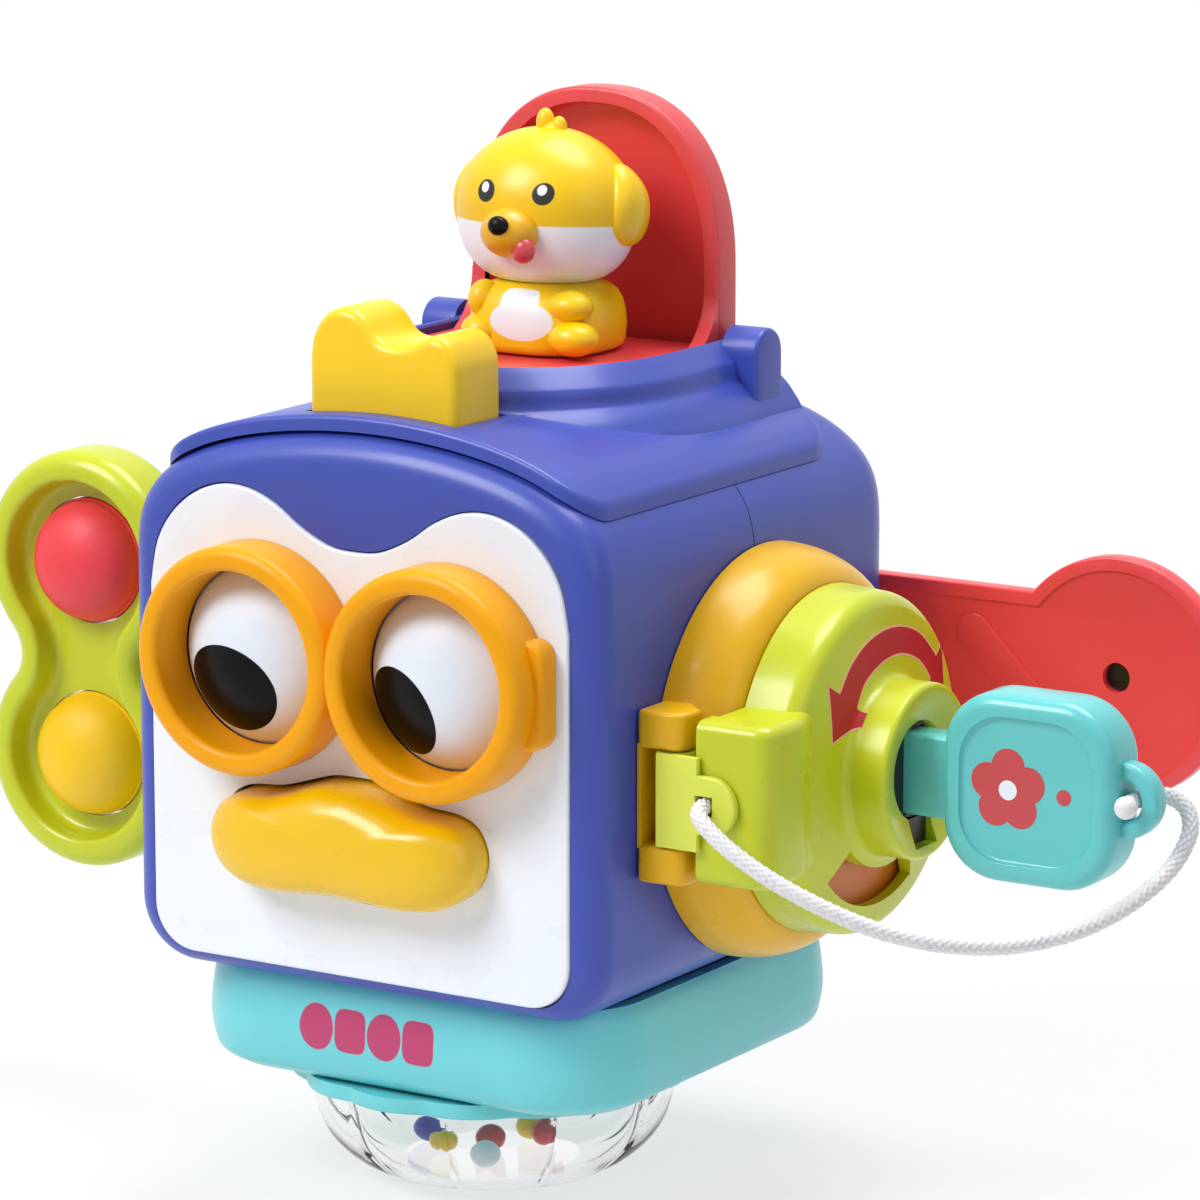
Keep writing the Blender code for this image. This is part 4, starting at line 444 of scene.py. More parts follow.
def shell_openings():
    """What both shells leave open: the pop-up's room, the handle's bush and the lock's pocket."""
    return (block((-35.3, -54.5, 150), (35.3, 36.7, 182)), rod(6.9, (-62, *axle), (-55, *axle)),
            rod(36.8, (55, *axle), (62, *axle), 96))


shell_shape = soft_slab(body_outline(), "Y", body_front, -parting_gap, [body_front], 7.0, 9)
shell_shape = carve(shell_shape, slab(body_outline(body_wall), "Y", -57.7, 1.0),
                    slab(plate_outline(0.35), "Y", -70.0, -60.2),
                    *[rod(22.3, (x, -63, eye_z), (x, -50, eye_z), 64) for x in (-eye_x, eye_x)],
                    block((-32, -63, 73.5), (32, -50, 96.5)), *shell_openings())
soften(shell_shape, sharp_edges(shell_shape, lambda p: p.y < -62.1 and abs(p.x) < 54 and p.z < 158), 0.5, 3)
make_piece("front_shell_look", shell_shape, blue_abs, "housing", ["front_shell"])

shell_shape = soft_slab(body_outline(), "Y", parting_gap, body_back, [body_back], 12.0, 12)
shell_shape = carve(shell_shape, slab(body_outline(body_wall), "Y", -1.0, 58.0), *shell_openings())
for x, z in [(x, z) for x in (-48.5, 48.5) for z in (56.9, 139.3)]:
    shell_shape = fuse(shell_shape, rod(4.6, (x, 10, z), (x, 61.0, z), 32))
    shell_shape = carve(shell_shape, rod(3.0, (x, 9, z), (x, 66, z), 32))
for low, high in ((117.4, 125.5), (91.7, 99.8)):
    lug_line = [(46.1, 58.0), (50.9, 58.0)] + arc(flap_pin, 2.9, 0, 180, 16)
    shell_shape = fuse(shell_shape, slab(lug_line, "Z", low, high))
shell_shape = carve(shell_shape, rod(1.4, (*flap_pin, 93), (*flap_pin, 124.2), 24))
make_piece("rear_shell_look", shell_shape, blue_abs, "housing", ["rear_shell"])

# Top cap with the pop-up's mouth
# One blue ABS moulding snapped over both shells: a crowned saddle with a thin lip, a sloped collar
# round the D-shaped mouth, a slot for the button and two ears that hold the lid's pin.
cap_thickness = 3.3
lid_half_width = 32.0
lid_foot = 19.5
lid_tall = 39.5
lid_power = 2.3
mouth_gap = 0.6
mouth_rear = 30.5
cap_line = rounded_box((-54.5, -58.5), (54.5, 43), 9, 8)
cap_form = soft_slab(cap_line, "Z", 0.0, cap_thickness, [cap_thickness], 1.1, 4)
for cut in range(-26, 27):
    bmesh.ops.bisect_plane(cap_form, geom=cap_form.verts[:] + cap_form.edges[:] + cap_form.faces[:],
                           dist=merge_reach, plane_co=(cut * 2.05, 0, 0), plane_no=(1, 0, 0))
for vert in cap_form.verts:
    vert.co.z += crown_height(vert.co.x) + 0.3


def lid_arch(wide, tall, steps):
    """The lid's arch from its right edge to its top, as (across, up from the arch's foot)."""
    out = []
    for at in range(steps + 1):
        angle = math.pi / 2 * at / steps
        out.append((wide * max(math.cos(angle), 0.0) ** (2 / lid_power),
                    tall * math.sin(angle) ** (2 / lid_power)))
    return out


def mouth_outline(out, rear):
    """D-shaped mouth seen from above: the lid's arch laid forward, square behind the hinge."""
    wide = lid_half_width + mouth_gap + out
    line = [(wide, 39.1 + rear), (wide, mouth_rear)]
    line += [(x, mouth_rear - lid_foot - up) for x, up in lid_arch(wide, lid_tall + mouth_gap + out, 22)]
    return line + [(-x, y) for x, y in reversed(line[:-1])]


# The collar's steps outwards: distance from the mouth and height above the table
collar_profile = [(0.0, 166.0), (0.0, 179.8)] + smooth_line(
    [(0.5, 180.3), (1.0, 180.4), (1.5, 180.2), (4.9, 176.9), (5.7, 175.9), (6.0, 174.7), (6.2, 173.2),
     (6.8, 172.1), (8.2, 171.1), (9.8, 169.6), (11.2, 167.8), (13.0, 165.2), (16.0, 158.0)], False, 3)
collar_front = -33.3
collar_form = bmesh.new()
collar_loops = []
for out, height in collar_profile:
    line = mouth_outline(out, min(out, 3.8))
    ring = [collar_form.verts.new((x, max(y, collar_front), height)) for x, y in line]
    collar_loops.append([collar_form.edges.new((ring[at - 1], ring[at])) for at in range(len(ring))])
for inner, outer in zip(collar_loops, collar_loops[1:]):
    bmesh.ops.bridge_loops(collar_form, edges=inner + outer)
bmesh.ops.bridge_loops(collar_form, edges=collar_loops[0] + collar_loops[-1])
bmesh.ops.recalc_face_normals(collar_form, faces=collar_form.faces)
collar_form = carve(collar_form, slab(body_outline(-0.6), "Y", -80, 80))
cap_form = carve(cap_form, slab(mouth_outline(0.0, 0.0), "Z", 150, 190),
                 block((-19.2, -52.7, 150), (19.2, -34.1, 190)))
ears_form = bmesh.new()
for side in (-1, 1):
    near, far = sorted((side * 34.7, side * 43.7))
    ear_line = [(27, 163), (38, 163)] + arc((32.5, 177.9), 5.5, 0, 180, 20)
    ears_form = gather(ears_form, soft_slab(ear_line, "X", near, far, [side * 43.7], 1.0, 4))
make_piece("top_cap_look", fuse(cap_form, collar_form, ears_form), blue_abs, "housing", ["top_cap"],
           28.0)

# Face plate
# White ABS plate, clipped into the sunk front and polished, with holes for the eyes and the beak.
# The eye holes widen to the back, so that only the glasses are seen round the eyes.
white_abs = moulded_plastic("white_moulded_abs", "#EDF2F9", 0.3, 0.15)
plate_front = -62.9
beak_height = 85.0
beak_half_shares = [(0.0, 1.0), (0.16, 0.98), (0.34, 0.84), (0.55, 0.68), (0.78, 0.62), (0.93, 0.42),
                    (1.0, -0.05), (0.94, -0.55), (0.78, -0.86), (0.55, -0.97), (0.28, -0.94), (0.0, -0.90)]
beak_shares = [(-x, z) for x, z in beak_half_shares[6:0:-1]] + beak_half_shares
beak_shares += [(-x, z) for x, z in beak_half_shares[-2:6:-1]]


def beak_outline(wide, tall):
    """The beak seen from the front, from its half width and half height."""
    return [(x * wide, beak_height + z * tall) for x, z in smooth_line(beak_shares, True, 4)]


def spun(profile, centre, axis, steps=96):
    """A profile of (radius, distance along the axis), spun all the way round."""
    form = bmesh.new()
    way = "XYZ".index(axis)
    line = []
    for radius, along in profile:
        place = list(centre)
        place[way] = along
        place[(way + 1) % 3] += radius
        line.append(form.verts.new(place))
    edges = [form.edges.new(pair) for pair in zip(line, line[1:])]
    turn = [0, 0, 0]
    turn[way] = 1
    bmesh.ops.spin(form, geom=line + edges, cent=centre, axis=turn, angle=2 * math.pi, steps=steps,
                   use_merge=True, use_duplicate=False)
    bmesh.ops.remove_doubles(form, verts=form.verts, dist=merge_reach)
    bmesh.ops.recalc_face_normals(form, faces=form.faces)
    return form


plate_form = soft_slab(plate_outline(), "Y", plate_front, -60.5, [plate_front], 0.7, 4)
eye_hole = [(0, -70), (19.8, -70), (19.8, -63.0), (21.3, -60.4), (21.3, -50), (0, -50)]
plate_form = carve(plate_form, *[spun(eye_hole, (x, 0, eye_z), "Y") for x in (-eye_x, eye_x)],
                   slab(beak_outline(33.5, 12.5), "Y", -70, -50))
make_piece("face_plate_look", plate_form, white_abs, "housing", ["face_plate"])

# Glasses
# Orange ABS double ring with two short temples, moulded in one.
# It is glued on the face plate.
orange_abs = moulded_plastic("orange_moulded_abs", "#F2A403", 0.36, 0.05, 0.35, 0.2)
glasses_back = -63.1
ring_front = -74.7
temple_front = -68.3
ring_profile = rounded([(24.5, glasses_back, 0), (24.5, ring_front, 2.6), (19.3, ring_front, 1.7),
                        (19.3, glasses_back, 0)], False, 7)
glasses_form = bmesh.new()
for side in (-1, 1):
    line = rounded([(side * 43.0, 109.4, 0), (side * 50.0, 109.4, 4), (side * 50.0, 132.4, 4),
                    (side * 43.0, 132.4, 0)])
    temple = soft_slab(line, "Y", temple_front, glasses_back, [temple_front], 1.4, 5)
    ring = spun(ring_profile + ring_profile[:1], (side * eye_x, 0, eye_z), "Y")
    glasses_form = gather(glasses_form, ring, temple)
make_piece("glasses_look", glasses_form, orange_abs, "housing", ["glasses_frame"])

# Eyes
# White ABS balls, cut flat above and below round their upright trunnions.
# A black oval disc, bent to the ball, is let into each.
eye_white = moulded_plastic("polished_white_abs", "#E4EBF5", 0.4, 0.0, 0.1, 0.2)
pupil_black = moulded_plastic("polished_black_abs", "#030304", 0.3, 0.0, 0.1, 0.12)
eye_radius = 23.5
eye_half_height = 21.0
pupil_radius = 10
pupil_lift = 0.1
pupil_pitch = 18
globe_line = [(0.0, -eye_half_height)]
for step in range(-24, 25):
    rise = math.asin(eye_half_height / eye_radius) * step / 24
    globe_line.append((eye_radius * math.cos(rise), eye_radius * math.sin(rise)))
globe_line.append((0.0, eye_half_height))
pupil_line = [(step, 0.0) for step in range(pupil_radius + 1)] + [(pupil_radius, -3.0), (0.0, -3.0)]
for name, side, yaw, wide in (("left", -1, -9.0, 1.18), ("right", 1, -22.5, 1.03)):
    centre = Vector((side * eye_x, eye_y, eye_z))
    trunnion = Vector((0, 0, 23.4))
    globe = spun(globe_line, (0, 0, 0), "Z")
    bmesh.ops.translate(globe, vec=centre, verts=globe.verts)
    globe = gather(globe, rod(1.5, centre - trunnion, centre + trunnion, 24))
    make_piece(name + "_eyeball_look", globe, eye_white, name + "_eye", [name + "_eyeball"])
    disc = spun(pupil_line, (0, 0, 0), "Z", 64)
    for vert in disc.verts:
        vert.co.x *= wide
        vert.co.z += math.sqrt((eye_radius + pupil_lift) ** 2 - vert.co.x ** 2 - vert.co.y ** 2)
    turn = Matrix.Rotation(math.radians(yaw), 4, "Z") @ Matrix.Rotation(math.radians(90 + pupil_pitch), 4, "X")
    bmesh.ops.transform(disc, matrix=Matrix.Translation(centre) @ turn, verts=disc.verts)
    make_piece(name + "_pupil_look", disc, pupil_black, name + "_eye", [name + "_pupil"])

# Beak
# Yellow squeeze button of soft-touch ABS, full and rounded.
# It is grown from its outline in steps that narrow and sink a little towards the tip.
yellow_abs = moulded_plastic("yellow_moulded_abs", "#EFC005", 0.28, 0.2)
beak_foot = -57.0
beak_base = -62.5
beak_reach = 13.5
beak_sink = 0.08
beak_form = bmesh.new()
start_ring = [beak_form.verts.new((x, beak_foot, z)) for x, z in beak_outline(33.2, 12.2)]
edges = [beak_form.edges.new((start_ring[at - 1], start_ring[at])) for at in range(len(start_ring))]
beak_form.faces.new(start_ring)
size_before = 1.0
depth_before = beak_foot
for reach, size in ((0.0, 1.0), (0.22, 1.0), (0.36, 0.998), (0.48, 0.99), (0.60, 0.96), (0.72, 0.91),
                    (0.82, 0.825), (0.90, 0.71), (0.95, 0.58), (0.985, 0.41), (1.0, 0.2)):
    grown = bmesh.ops.extrude_edge_only(beak_form, edges=edges)["geom"]
    verts = [item for item in grown if isinstance(item, bmesh.types.BMVert)]
    edges = [item for item in grown if isinstance(item, bmesh.types.BMEdge)
             and item.verts[0] in verts and item.verts[1] in verts]
    depth = beak_base - beak_reach * reach
    run = depth - depth_before
    bmesh.ops.scale(beak_form, vec=(size / size_before, 1, size / size_before), verts=verts,
                    space=Matrix.Translation((0, 0, -beak_height)))
    bmesh.ops.translate(beak_form, vec=(0, run, beak_sink * run), verts=verts)
    size_before = size
    depth_before = depth
bmesh.ops.edgeloop_fill(beak_form, edges=edges)
make_piece("beak_look", beak_form, yellow_abs, "beak_push", ["beak"], 70.0)

# Crown button
# Yellow ABS tuft cut as a thick flat shape with rounded edges.
# It stands in a slot of the cap, on a foot flange and a stem that a spring carries.
crest_width = 37.4
crest_rise = 22.5
crest_front = -52.2
crest_back = -34.6
crest_foot = 168.0
crest_shares = [(-0.5, 0.52), (-0.475, 0.73), (-0.39, 0.925), (-0.26, 1.0), (-0.14, 0.925), (-0.04, 0.74),
                (0.075, 0.69), (0.19, 0.72), (0.325, 0.81), (0.43, 0.75), (0.49, 0.585), (0.5, 0.44)]
crest_base = crown_height(crest_width / 2) + 3.6
crest_line = [(crest_width / 2, crest_foot), (-crest_width / 2, crest_foot)]
crest_line += smooth_line([(x * crest_width, crest_base + z * crest_rise) for x, z in crest_shares], False, 6)
crest_form = soft_slab(crest_line, "Y", crest_front, crest_back, [crest_front, crest_back], 2.4, 6,
                       lambda a, b: max(a.z, b.z) > crest_foot + 0.5)
crest_form = gather(crest_form, block((-20.5, -53.1, 165.9), (20.5, -33.7, 167.6)),
                    rod(3.0, (0, -43.4, 153.4), (0, -43.4, 166.5), 32))
crest_yellow = moulded_plastic("crest_yellow_abs", "#FFD016", 0.34, 0.1)
make_piece("crown_button_look", crest_form, crest_yellow, "crown", ["crown_button"], 34.0)

# Pop-up lid
# Red ABS scoop: an upright arch with a raised rim and a flat floor that the puppy sits on,
# joined by two curved gussets and hinged on a steel pin at its foot.
red_abs = moulded_plastic("red_moulded_abs", "#DC4448", 0.36, 0.1)
lid_front = 30.2
lid_back = 38.2
seat_low = 175.4
seat_top = 178.4
gusset_reach = 15.2
gusset_rise = 15.0


def lid_outline(grow=0.0, tall=lid_tall):
    """The lid's arch with its straight foot, in (across, up)."""
    right = [(lid_half_width + grow, 0.0)]
    right += [(x, lid_foot + up) for x, up in lid_arch(lid_half_width + grow, tall + grow, 26)]
    return right + [(-x, up) for x, up in reversed(right[:-1])]


lid_form = soft_slab([(x, seat_low + up) for x, up in lid_outline(0.0, 38.3)], "Y", lid_front, lid_back,
                     [lid_front, lid_back], 0.9, 4, lambda a, b: max(a.z, b.z) > 176)
dish = soft_slab([(x, 175.0 + up) for x, up in lid_outline(-3.6, 39.0)], "Y", 20.0, 36.2, [36.2], 1.6, 4,
                 lambda a, b: max(a.z, b.z) > 176)
seat_reach = 58.5
seat_line = [(x, lid_front - up * seat_reach / (lid_foot + lid_tall)) for x, up in lid_outline()]
seat_line = [(lid_half_width, 33.0)] + seat_line + [(-lid_half_width, 33.0)]
seat_form = soft_slab(seat_line, "Z", seat_low, seat_top, [seat_top], 0.6, 3,
                      lambda a, b: max(a.y, b.y) < 30)
lid_form = gather(carve(lid_form, dish), seat_form)
for side in (-1, 1):
    curve = []
    for at in range(15):
        bend = math.pi / 2 * at / 14
        curve.append((30.4 - gusset_reach * (1 - math.sin(bend)), 176.5 + gusset_rise * (1 - math.cos(bend))))
    near, far = sorted((side * 28.4, side * 31.85))
    gusset = slab([(32.0, 176.5)] + curve + [(32.0, 191.5)], "X", near, far)
    lid_form = gather(lid_form, gusset, rod(3.2, (side * 6.5, 30.5, 174.9), (side * 31.7, 30.5, 174.9), 32))
make_piece("pop_up_lid_look", lid_form, red_abs, "lid", ["pop_up_lid"], 30.0)


def coat_nodes(material, *names):
    """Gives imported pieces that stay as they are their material."""
    for name in names:
        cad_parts[name].material_slots[0].material = material


coat_nodes(red_abs, "pop_up_well")

# Puppy's body
# Yellow ABS figure, moulded with its arms and feet, with a white belly printed on its front.
# Each print is laid over the plastic's colour where an oval or a rounded box covers it.


def print_and_shade_on(material, colour, centre, size, boxy=False):
    """Ink over a plastic's colour inside an ellipsoid, or a rounded box, given in millimetres; also used to
    lay painted shade.
    """
    tree = material.node_tree
    shader = tree.nodes["Principled BSDF"]
    shifted = add_node(tree, "ShaderNodeVectorMath", {"operation": "SUBTRACT"}, {1: [x * MM for x in centre]},
                       {0: add_node(tree, "ShaderNodeTexCoord").outputs["Object"]})
    share = add_node(tree, "ShaderNodeVectorMath", {"operation": "DIVIDE"}, {1: [x * MM for x in size]},
                     {0: shifted.outputs["Vector"]})
    if boxy:
        share = add_node(tree, "ShaderNodeVectorMath", {"operation": "MULTIPLY"},
                         links={0: share.outputs["Vector"], 1: share.outputs["Vector"]})
    reach = add_node(tree, "ShaderNodeVectorMath", {"operation": "LENGTH"}, links={0: share.outputs["Vector"]})
    edge = 0.12 / min(size) * (2 if boxy else 1)
    mask = add_node(tree, "ShaderNodeMapRange",
                    inputs={"From Min": 1 - edge, "From Max": 1 + edge, "To Min": 1.0, "To Max": 0.0},
                    links={"Value": reach.outputs["Value"]})
    under = shader.inputs["Base Color"].links[0].from_socket
    ink = add_node(tree, "ShaderNodeMix", {"data_type": "RGBA"}, {7: srgb(colour)},
                   {0: mask.outputs["Result"], 6: under})
    tree.links.new(ink.outputs[2], shader.inputs["Base Color"])


def ball(centre, radii, segments=40, rings=24):
    """An oval ball."""
    form = bmesh.new()
    bmesh.ops.create_uvsphere(form, u_segments=segments, v_segments=rings, radius=1.0)
    bmesh.ops.scale(form, vec=radii, verts=form.verts)
    bmesh.ops.translate(form, vec=centre, verts=form.verts)
    return form


def lofted(rings):
    """A skin over closed rings of points, flat at both ends."""
    form = bmesh.new()
    loops = [[form.verts.new(point) for point in ring] for ring in rings]
    for low, high in zip(loops, loops[1:]):
        for at in range(len(low)):
            form.faces.new((low[at - 1], low[at], high[at], high[at - 1]))
    form.faces.new(loops[0])
    form.faces.new(loops[-1])
    bmesh.ops.recalc_face_normals(form, faces=form.faces)
    return form


puppy_yellow = moulded_plastic("puppy_yellow_abs", "#F7D000", 0.34, 0.1, 0.2)
print_and_shade_on(puppy_yellow, "#F0FAFF", (3.3, -5, 186.4), (7.8, 6.5, 4.3))
print_and_shade_on(puppy_yellow, "#F0FAFF", (2.4, -5, 189.4), (4.7, 4.5, 5.6), True)
torso_middle = 10.5
torso_ring = rounded_box((-16.3, -4.5), (16.3, 25.5), 12.5, 10)
torso_rings = []
for size, height in ((0.80, 178.72), (0.88, 178.9), (0.95, 179.6), (0.985, 181.0), (1.0, 184.3),
                     (0.985, 187.0), (0.95, 189.4), (0.885, 191.3), (0.79, 192.6), (0.66, 193.4),
                     (0.5, 193.8)):
    torso_rings.append([(1.0 + x * size, torso_middle + (y - torso_middle) * size, height)
                        for x, y in torso_ring])
limbs = [ball(place, size, 28, 18) for place, size in (
    ((14.6, -0.6, 183.0), (5.8, 4.9, 3.9)), ((-8.0, -1.4, 183.2), (5.0, 4.9, 3.9)),
    ((12.6, 1.0, 189.6), (5.4, 4.3, 3.5)), ((-8.8, 0.4, 189.8), (3.4, 4.2, 4.2)))]
make_piece("puppy_body_look", fuse(lofted(torso_rings), *limbs), puppy_yellow, "lid", ["puppy_body"],
           38.0)

# Puppy's head
# Yellow ABS ball with hanging ears and two tufts, its lower face and eyes printed, with a soft snout,
# a nose and a tongue glued on. The snout points a little to the right.
face_yellow = moulded_plastic("puppy_face_abs", "#F6C800", 0.34, 0.05, 0.15)
print_and_shade_on(face_yellow, "#F6FAFF", (0, -3.5, 196.9), (33.0, 21.0, 10.2), True)
for x, z, wide in ((-5.4, 213.9, 2.45), (8.5, 214.0, 2.35)):
    print_and_shade_on(face_yellow, "#141312", (x, -4, z), (wide, 6, 2.4))
    print_and_shade_on(face_yellow, "#FFFFFF", (x - 0.15 * wide, -4, z + 0.75), (0.42 * wide, 6, 1.1))
head_form = ball((0, 0, 0), (1, 1, 1), 80, 56)
for vert in head_form.verts:
    if vert.co.z < 0:
        depth = min(-vert.co.z, 1.0)
        across = math.hypot(vert.co.x, vert.co.y)
        turn = math.atan2(depth, across)
        grow = math.cos(turn) ** 0.6 / across if across > 0.001 else 0.0
        vert.co = (vert.co.x * grow, vert.co.y * grow, -0.95 * math.sin(turn) ** 0.86)
bmesh.ops.scale(head_form, vec=(20.5, 17.0, 17.3), verts=head_form.verts)
bmesh.ops.translate(head_form, vec=(0, 11.6, 209.2), verts=head_form.verts)
tufts = [ball(place, size, 24, 16) for place, size in (
    ((-0.6, 12.0, 227.2), (2.1, 1.9, 3.2)), ((2.9, 12.0, 226.4), (1.8, 1.6, 2.4)),
    ((1.3, 12.0, 226.0), (3.4, 2.2, 1.6)))]
make_piece("puppy_head_look", fuse(head_form, *tufts), face_yellow, "lid", ["puppy_head"],
           38.0)
ear_yellow = moulded_plastic("puppy_ear_abs", "#F8CC0C", 0.32, 0.1, 0.2)
ear_half_height = 8.8
ears_form = bmesh.new()
for side in (-1, 1):
    flap_ear = ball((0, 0, 0), (3.3, 6.2, ear_half_height), 36, 26)
    for vert in flap_ear.verts:
        share = vert.co.z / ear_half_height
        vert.co.y *= 1.0 - 0.28 * share
        vert.co.x += -2.6 * max(share, 0.0) ** 2
    bmesh.ops.scale(flap_ear, vec=(side, 1, 1), verts=flap_ear.verts)
    bmesh.ops.translate(flap_ear, vec=(side * 20.0, 13.2, 210.6), verts=flap_ear.verts)
    ears_form = gather(ears_form, flap_ear)
snout_yellow = moulded_plastic("puppy_snout_abs", "#E8AC10", 0.34, 0.1, 0.2)
tongue_red = moulded_plastic("puppy_tongue_abs", "#CF4148", 0.3, 0.3, 0.2)
for name, form, material, slot in (
        ("puppy_ears_look", ears_form, ear_yellow, "yellow_plastic"),
        ("puppy_snout_look", ball((1.3, -4.9, 205.5), (6.5, 6.4, 5.4)), snout_yellow, "yellow_plastic"),
        ("puppy_nose_look", ball((1.9, -10.6, 207.6), (2.4, 1.9, 2.1), 28, 18), pupil_black, "black_plastic"),
        ("puppy_tongue_look", ball((6.0, -7.2, 202.2), (2.7, 2.2, 2.9), 28, 18), tongue_red, "red_plastic")):
    make_piece(name, form, material, "lid", crease=50.0)

# Lock ring
# Golden yellow ABS flange in the body's right wall: a deep pocket with a rounded rim and the two arms
# that carry the door's steel pin.
golden_abs = moulded_plastic("golden_moulded_abs", "#E8B106", 0.3, 0.1, 0.2, 0.3)
lock_centre = (0, *axle)
ring_seat = 59.8
ring_line = [(0, 44.2), (36.5, 44.2), (36.5, ring_seat), (44.6, ring_seat)]
for at in range(1, 15):
    bend = math.pi / 2 * at / 15
    ring_line.append((36.5 + 8.1 * math.cos(bend), ring_seat + 15.0 * math.sin(bend)))
ring_line += [(36.4, 74.8), (35.1, 74.8), (34.6, 74.6), (34.5, 74.1), (34.5, 46.0), (0, 46.0)]
ring_form = spun(ring_line, lock_centre, "X", 128)
arm_line = rounded([(ring_seat, -48, 1.5), (71, -48, 3.2), (71, -40.5, 1), (66, -36, 1),
                    (ring_seat, -36, 0)], True, 6)
for low, high in ((108.3, 116.3), (79.9, 87.9)):
    ring_form = gather(ring_form, soft_slab(arm_line, "Z", low, high, [low, high], 1.0, 4))
ring_form = gather(ring_form, block((ring_seat, -47.5, 87.0), (60.8, -36.0, 109.2)))
make_piece("lock_ring_look", ring_form, golden_abs, "housing", ["lock_ring"], 34.0)

# Lock door
# Lime ABS door, a shallow drum with a domed face, a keyhole hub and a block that its pale hinge plate is
# screwed to. The arc window under the hub shows the turning disc behind it.
lime_abs = moulded_plastic("lime_moulded_abs", "#C3CC1C", 0.3, 0.15, 0.2)
door_back = 75.1
block_low = 81.0
block_high = 115.2
dome_line = smooth_line([(30.0, 88.25), (24.5, 89.65), (21.2, 90.3), (19.6, 90.9), (18.95, 92.0),
                         (18.8, 93.2)], False, 5)
door_face = [(37.2, door_back), (36.6, 83.7)] + arc((32.3, 83.7), 4.3, 8, 74, 9) + dome_line
hub_face = [(18.8, 98.9)] + arc((17.6, 99.0), 1.2, 8, 90, 6) + [(16.6, 100.0), (13.6, 98.9), (11.4, 98.2),
                                                                (10.7, 97.9), (10.4, 97.4)]
door_line = [(34.6, door_back)] + door_face + hub_face + [(10.4, 88.1), (34.6, 85.1), (34.6, door_back)]
block_line = rounded([(79.0, -22, 0), (door_back, -30, 0), (door_back, -40.5, 0), (73.6, -40.5, 0),
                      (73.6, -47, 0), (91.1, -47, 4.5), (91.1, -32.5, 8), (86.2, -20, 0)], True, 5)
hinge_block = soft_slab(block_line, "Z", block_low, block_high, [block_low, block_high], 2.4, 6,
                        lambda a, b: min(a.x, b.x) > 85 or max(a.y, b.y) < -46.9, False)
window = arc(axle, 30.0, -135, -62, 24) + arc(axle, 21.5, -62, -135, 24)
door_form = fuse(spun(door_line, lock_centre, "X", 128), hinge_block)
door_form = carve(door_form, block((93.2, -1.5, 82.1), (102, 7.5, 98.1)), slab(window, "X", 79.0, 96.0),
                  block((74.1, -49, 95.7), (78.9, -42.8, 100.5)))
make_piece("lock_door_look", door_form, lime_abs, "door", ["lock_door"], 33.0)

# Arrow on the lock door
# Red ink, pad printed on the domed face with a thin pale edge: two heads joined by an arc.
# Each ink layer is a skin just over the face, cut to the arrow's outline.
arrow_centre = Vector((4.5, 98.3))


def arrow_shape(grow):
    """Outline of the double arrow in (y, z), grown all round."""
    bands = []
    for points, way in (([(27.5, 117), (20.8, 122.9), (13, 126), (4.5, 126.8), (-3.9, 125.2), (-10.6, 121.6),
                          (-15.4, 116.8)], grow),
                        ([(-10.7, 113.1), (-6.9, 117.6), (-1.1, 120.3), (5.2, 121.4), (11.4, 120.8),
                          (18.1, 118), (22.9, 113.4)], -grow)):
        band = [Vector(point) - arrow_centre for point in smooth_line(points, False, 5)]
        bands.append([tuple(arrow_centre + point * (1 + way / point.length)) for point in band])
    heads = []
    spread = grow * 0.22
    for corners in (((-18.4, 118.8), (-19.2, 107.3), (-8.4, 110.8)),
                    ((21.8, 112.6), (30.9, 107.4), (30.7, 119.0))):
        middle = (sum(y for y, z in corners) / 3, sum(z for y, z in corners) / 3)
        heads.append([(y + (y - middle[0]) * spread, z + (z - middle[1]) * spread) for y, z in corners])
    return bands[0] + heads[0] + bands[1] + heads[1]


printed_face = (door_face + hub_face)[:-16]
for name, colour, grow, lift in (("arrow_edge", "#F0B488", 0.45, 0.04), ("arrow", "#B3171B", 0.0, 0.07)):
    ink = moulded_plastic(name + "_ink", colour, 0.5, 0.0, 0.1)
    ink_line = [(0.0, door_back)] + [(radius + lift, along + lift) for radius, along in printed_face]
    ink_form = spun(ink_line + [(0.0, ink_line[-1][1])], lock_centre, "X", 160)
    ink_form = carve(ink_form, slab(arrow_shape(grow), "X", 87.3, 99.0), operation="INTERSECT")
    make_piece(name + "_print", ink_form, ink, "door")

# Hinge plate of the lock door
# Pale lime ABS: the barrel between the ring's two arms, a flat plate and a round tab with a square hole
# for the cord. The plate and its tab stand a little proud of the door's block.
pale_abs = moulded_plastic("pale_lime_abs", "#DEE552", 0.3, 0.1, 0.2)
hinge_plate_front = -48.9
hinge_plate_back = -47.3
barrel_low = 88.2
barrel_high = 108.0
plate_block = block((65.0, hinge_plate_front, barrel_low), (74.9, hinge_plate_back, barrel_high))
soften(plate_block, plate_block.edges[:], 0.25, 2)
tab_line = [(72.5, 91.9)] + arc((77.7, axle[1]), 6.2, -90, 90, 24) + [(72.5, 104.3)]
tab_form = soft_slab(tab_line, "Y", hinge_plate_front, hinge_plate_back, [hinge_plate_front], 0.5, 3,
                     lambda a, b: max(a.x, b.x) > 73)
tab_form = carve(fuse(tab_form, plate_block), block((74.4, -50, 96.0), (78.6, -46, 100.2)))
tab_form = gather(rod(4.0, (67, -44, barrel_low), (67, -44, barrel_high), 40), tab_form)
make_piece("hinge_plate_look", tab_form, pale_abs, "door", ["hinge_knuckle"])
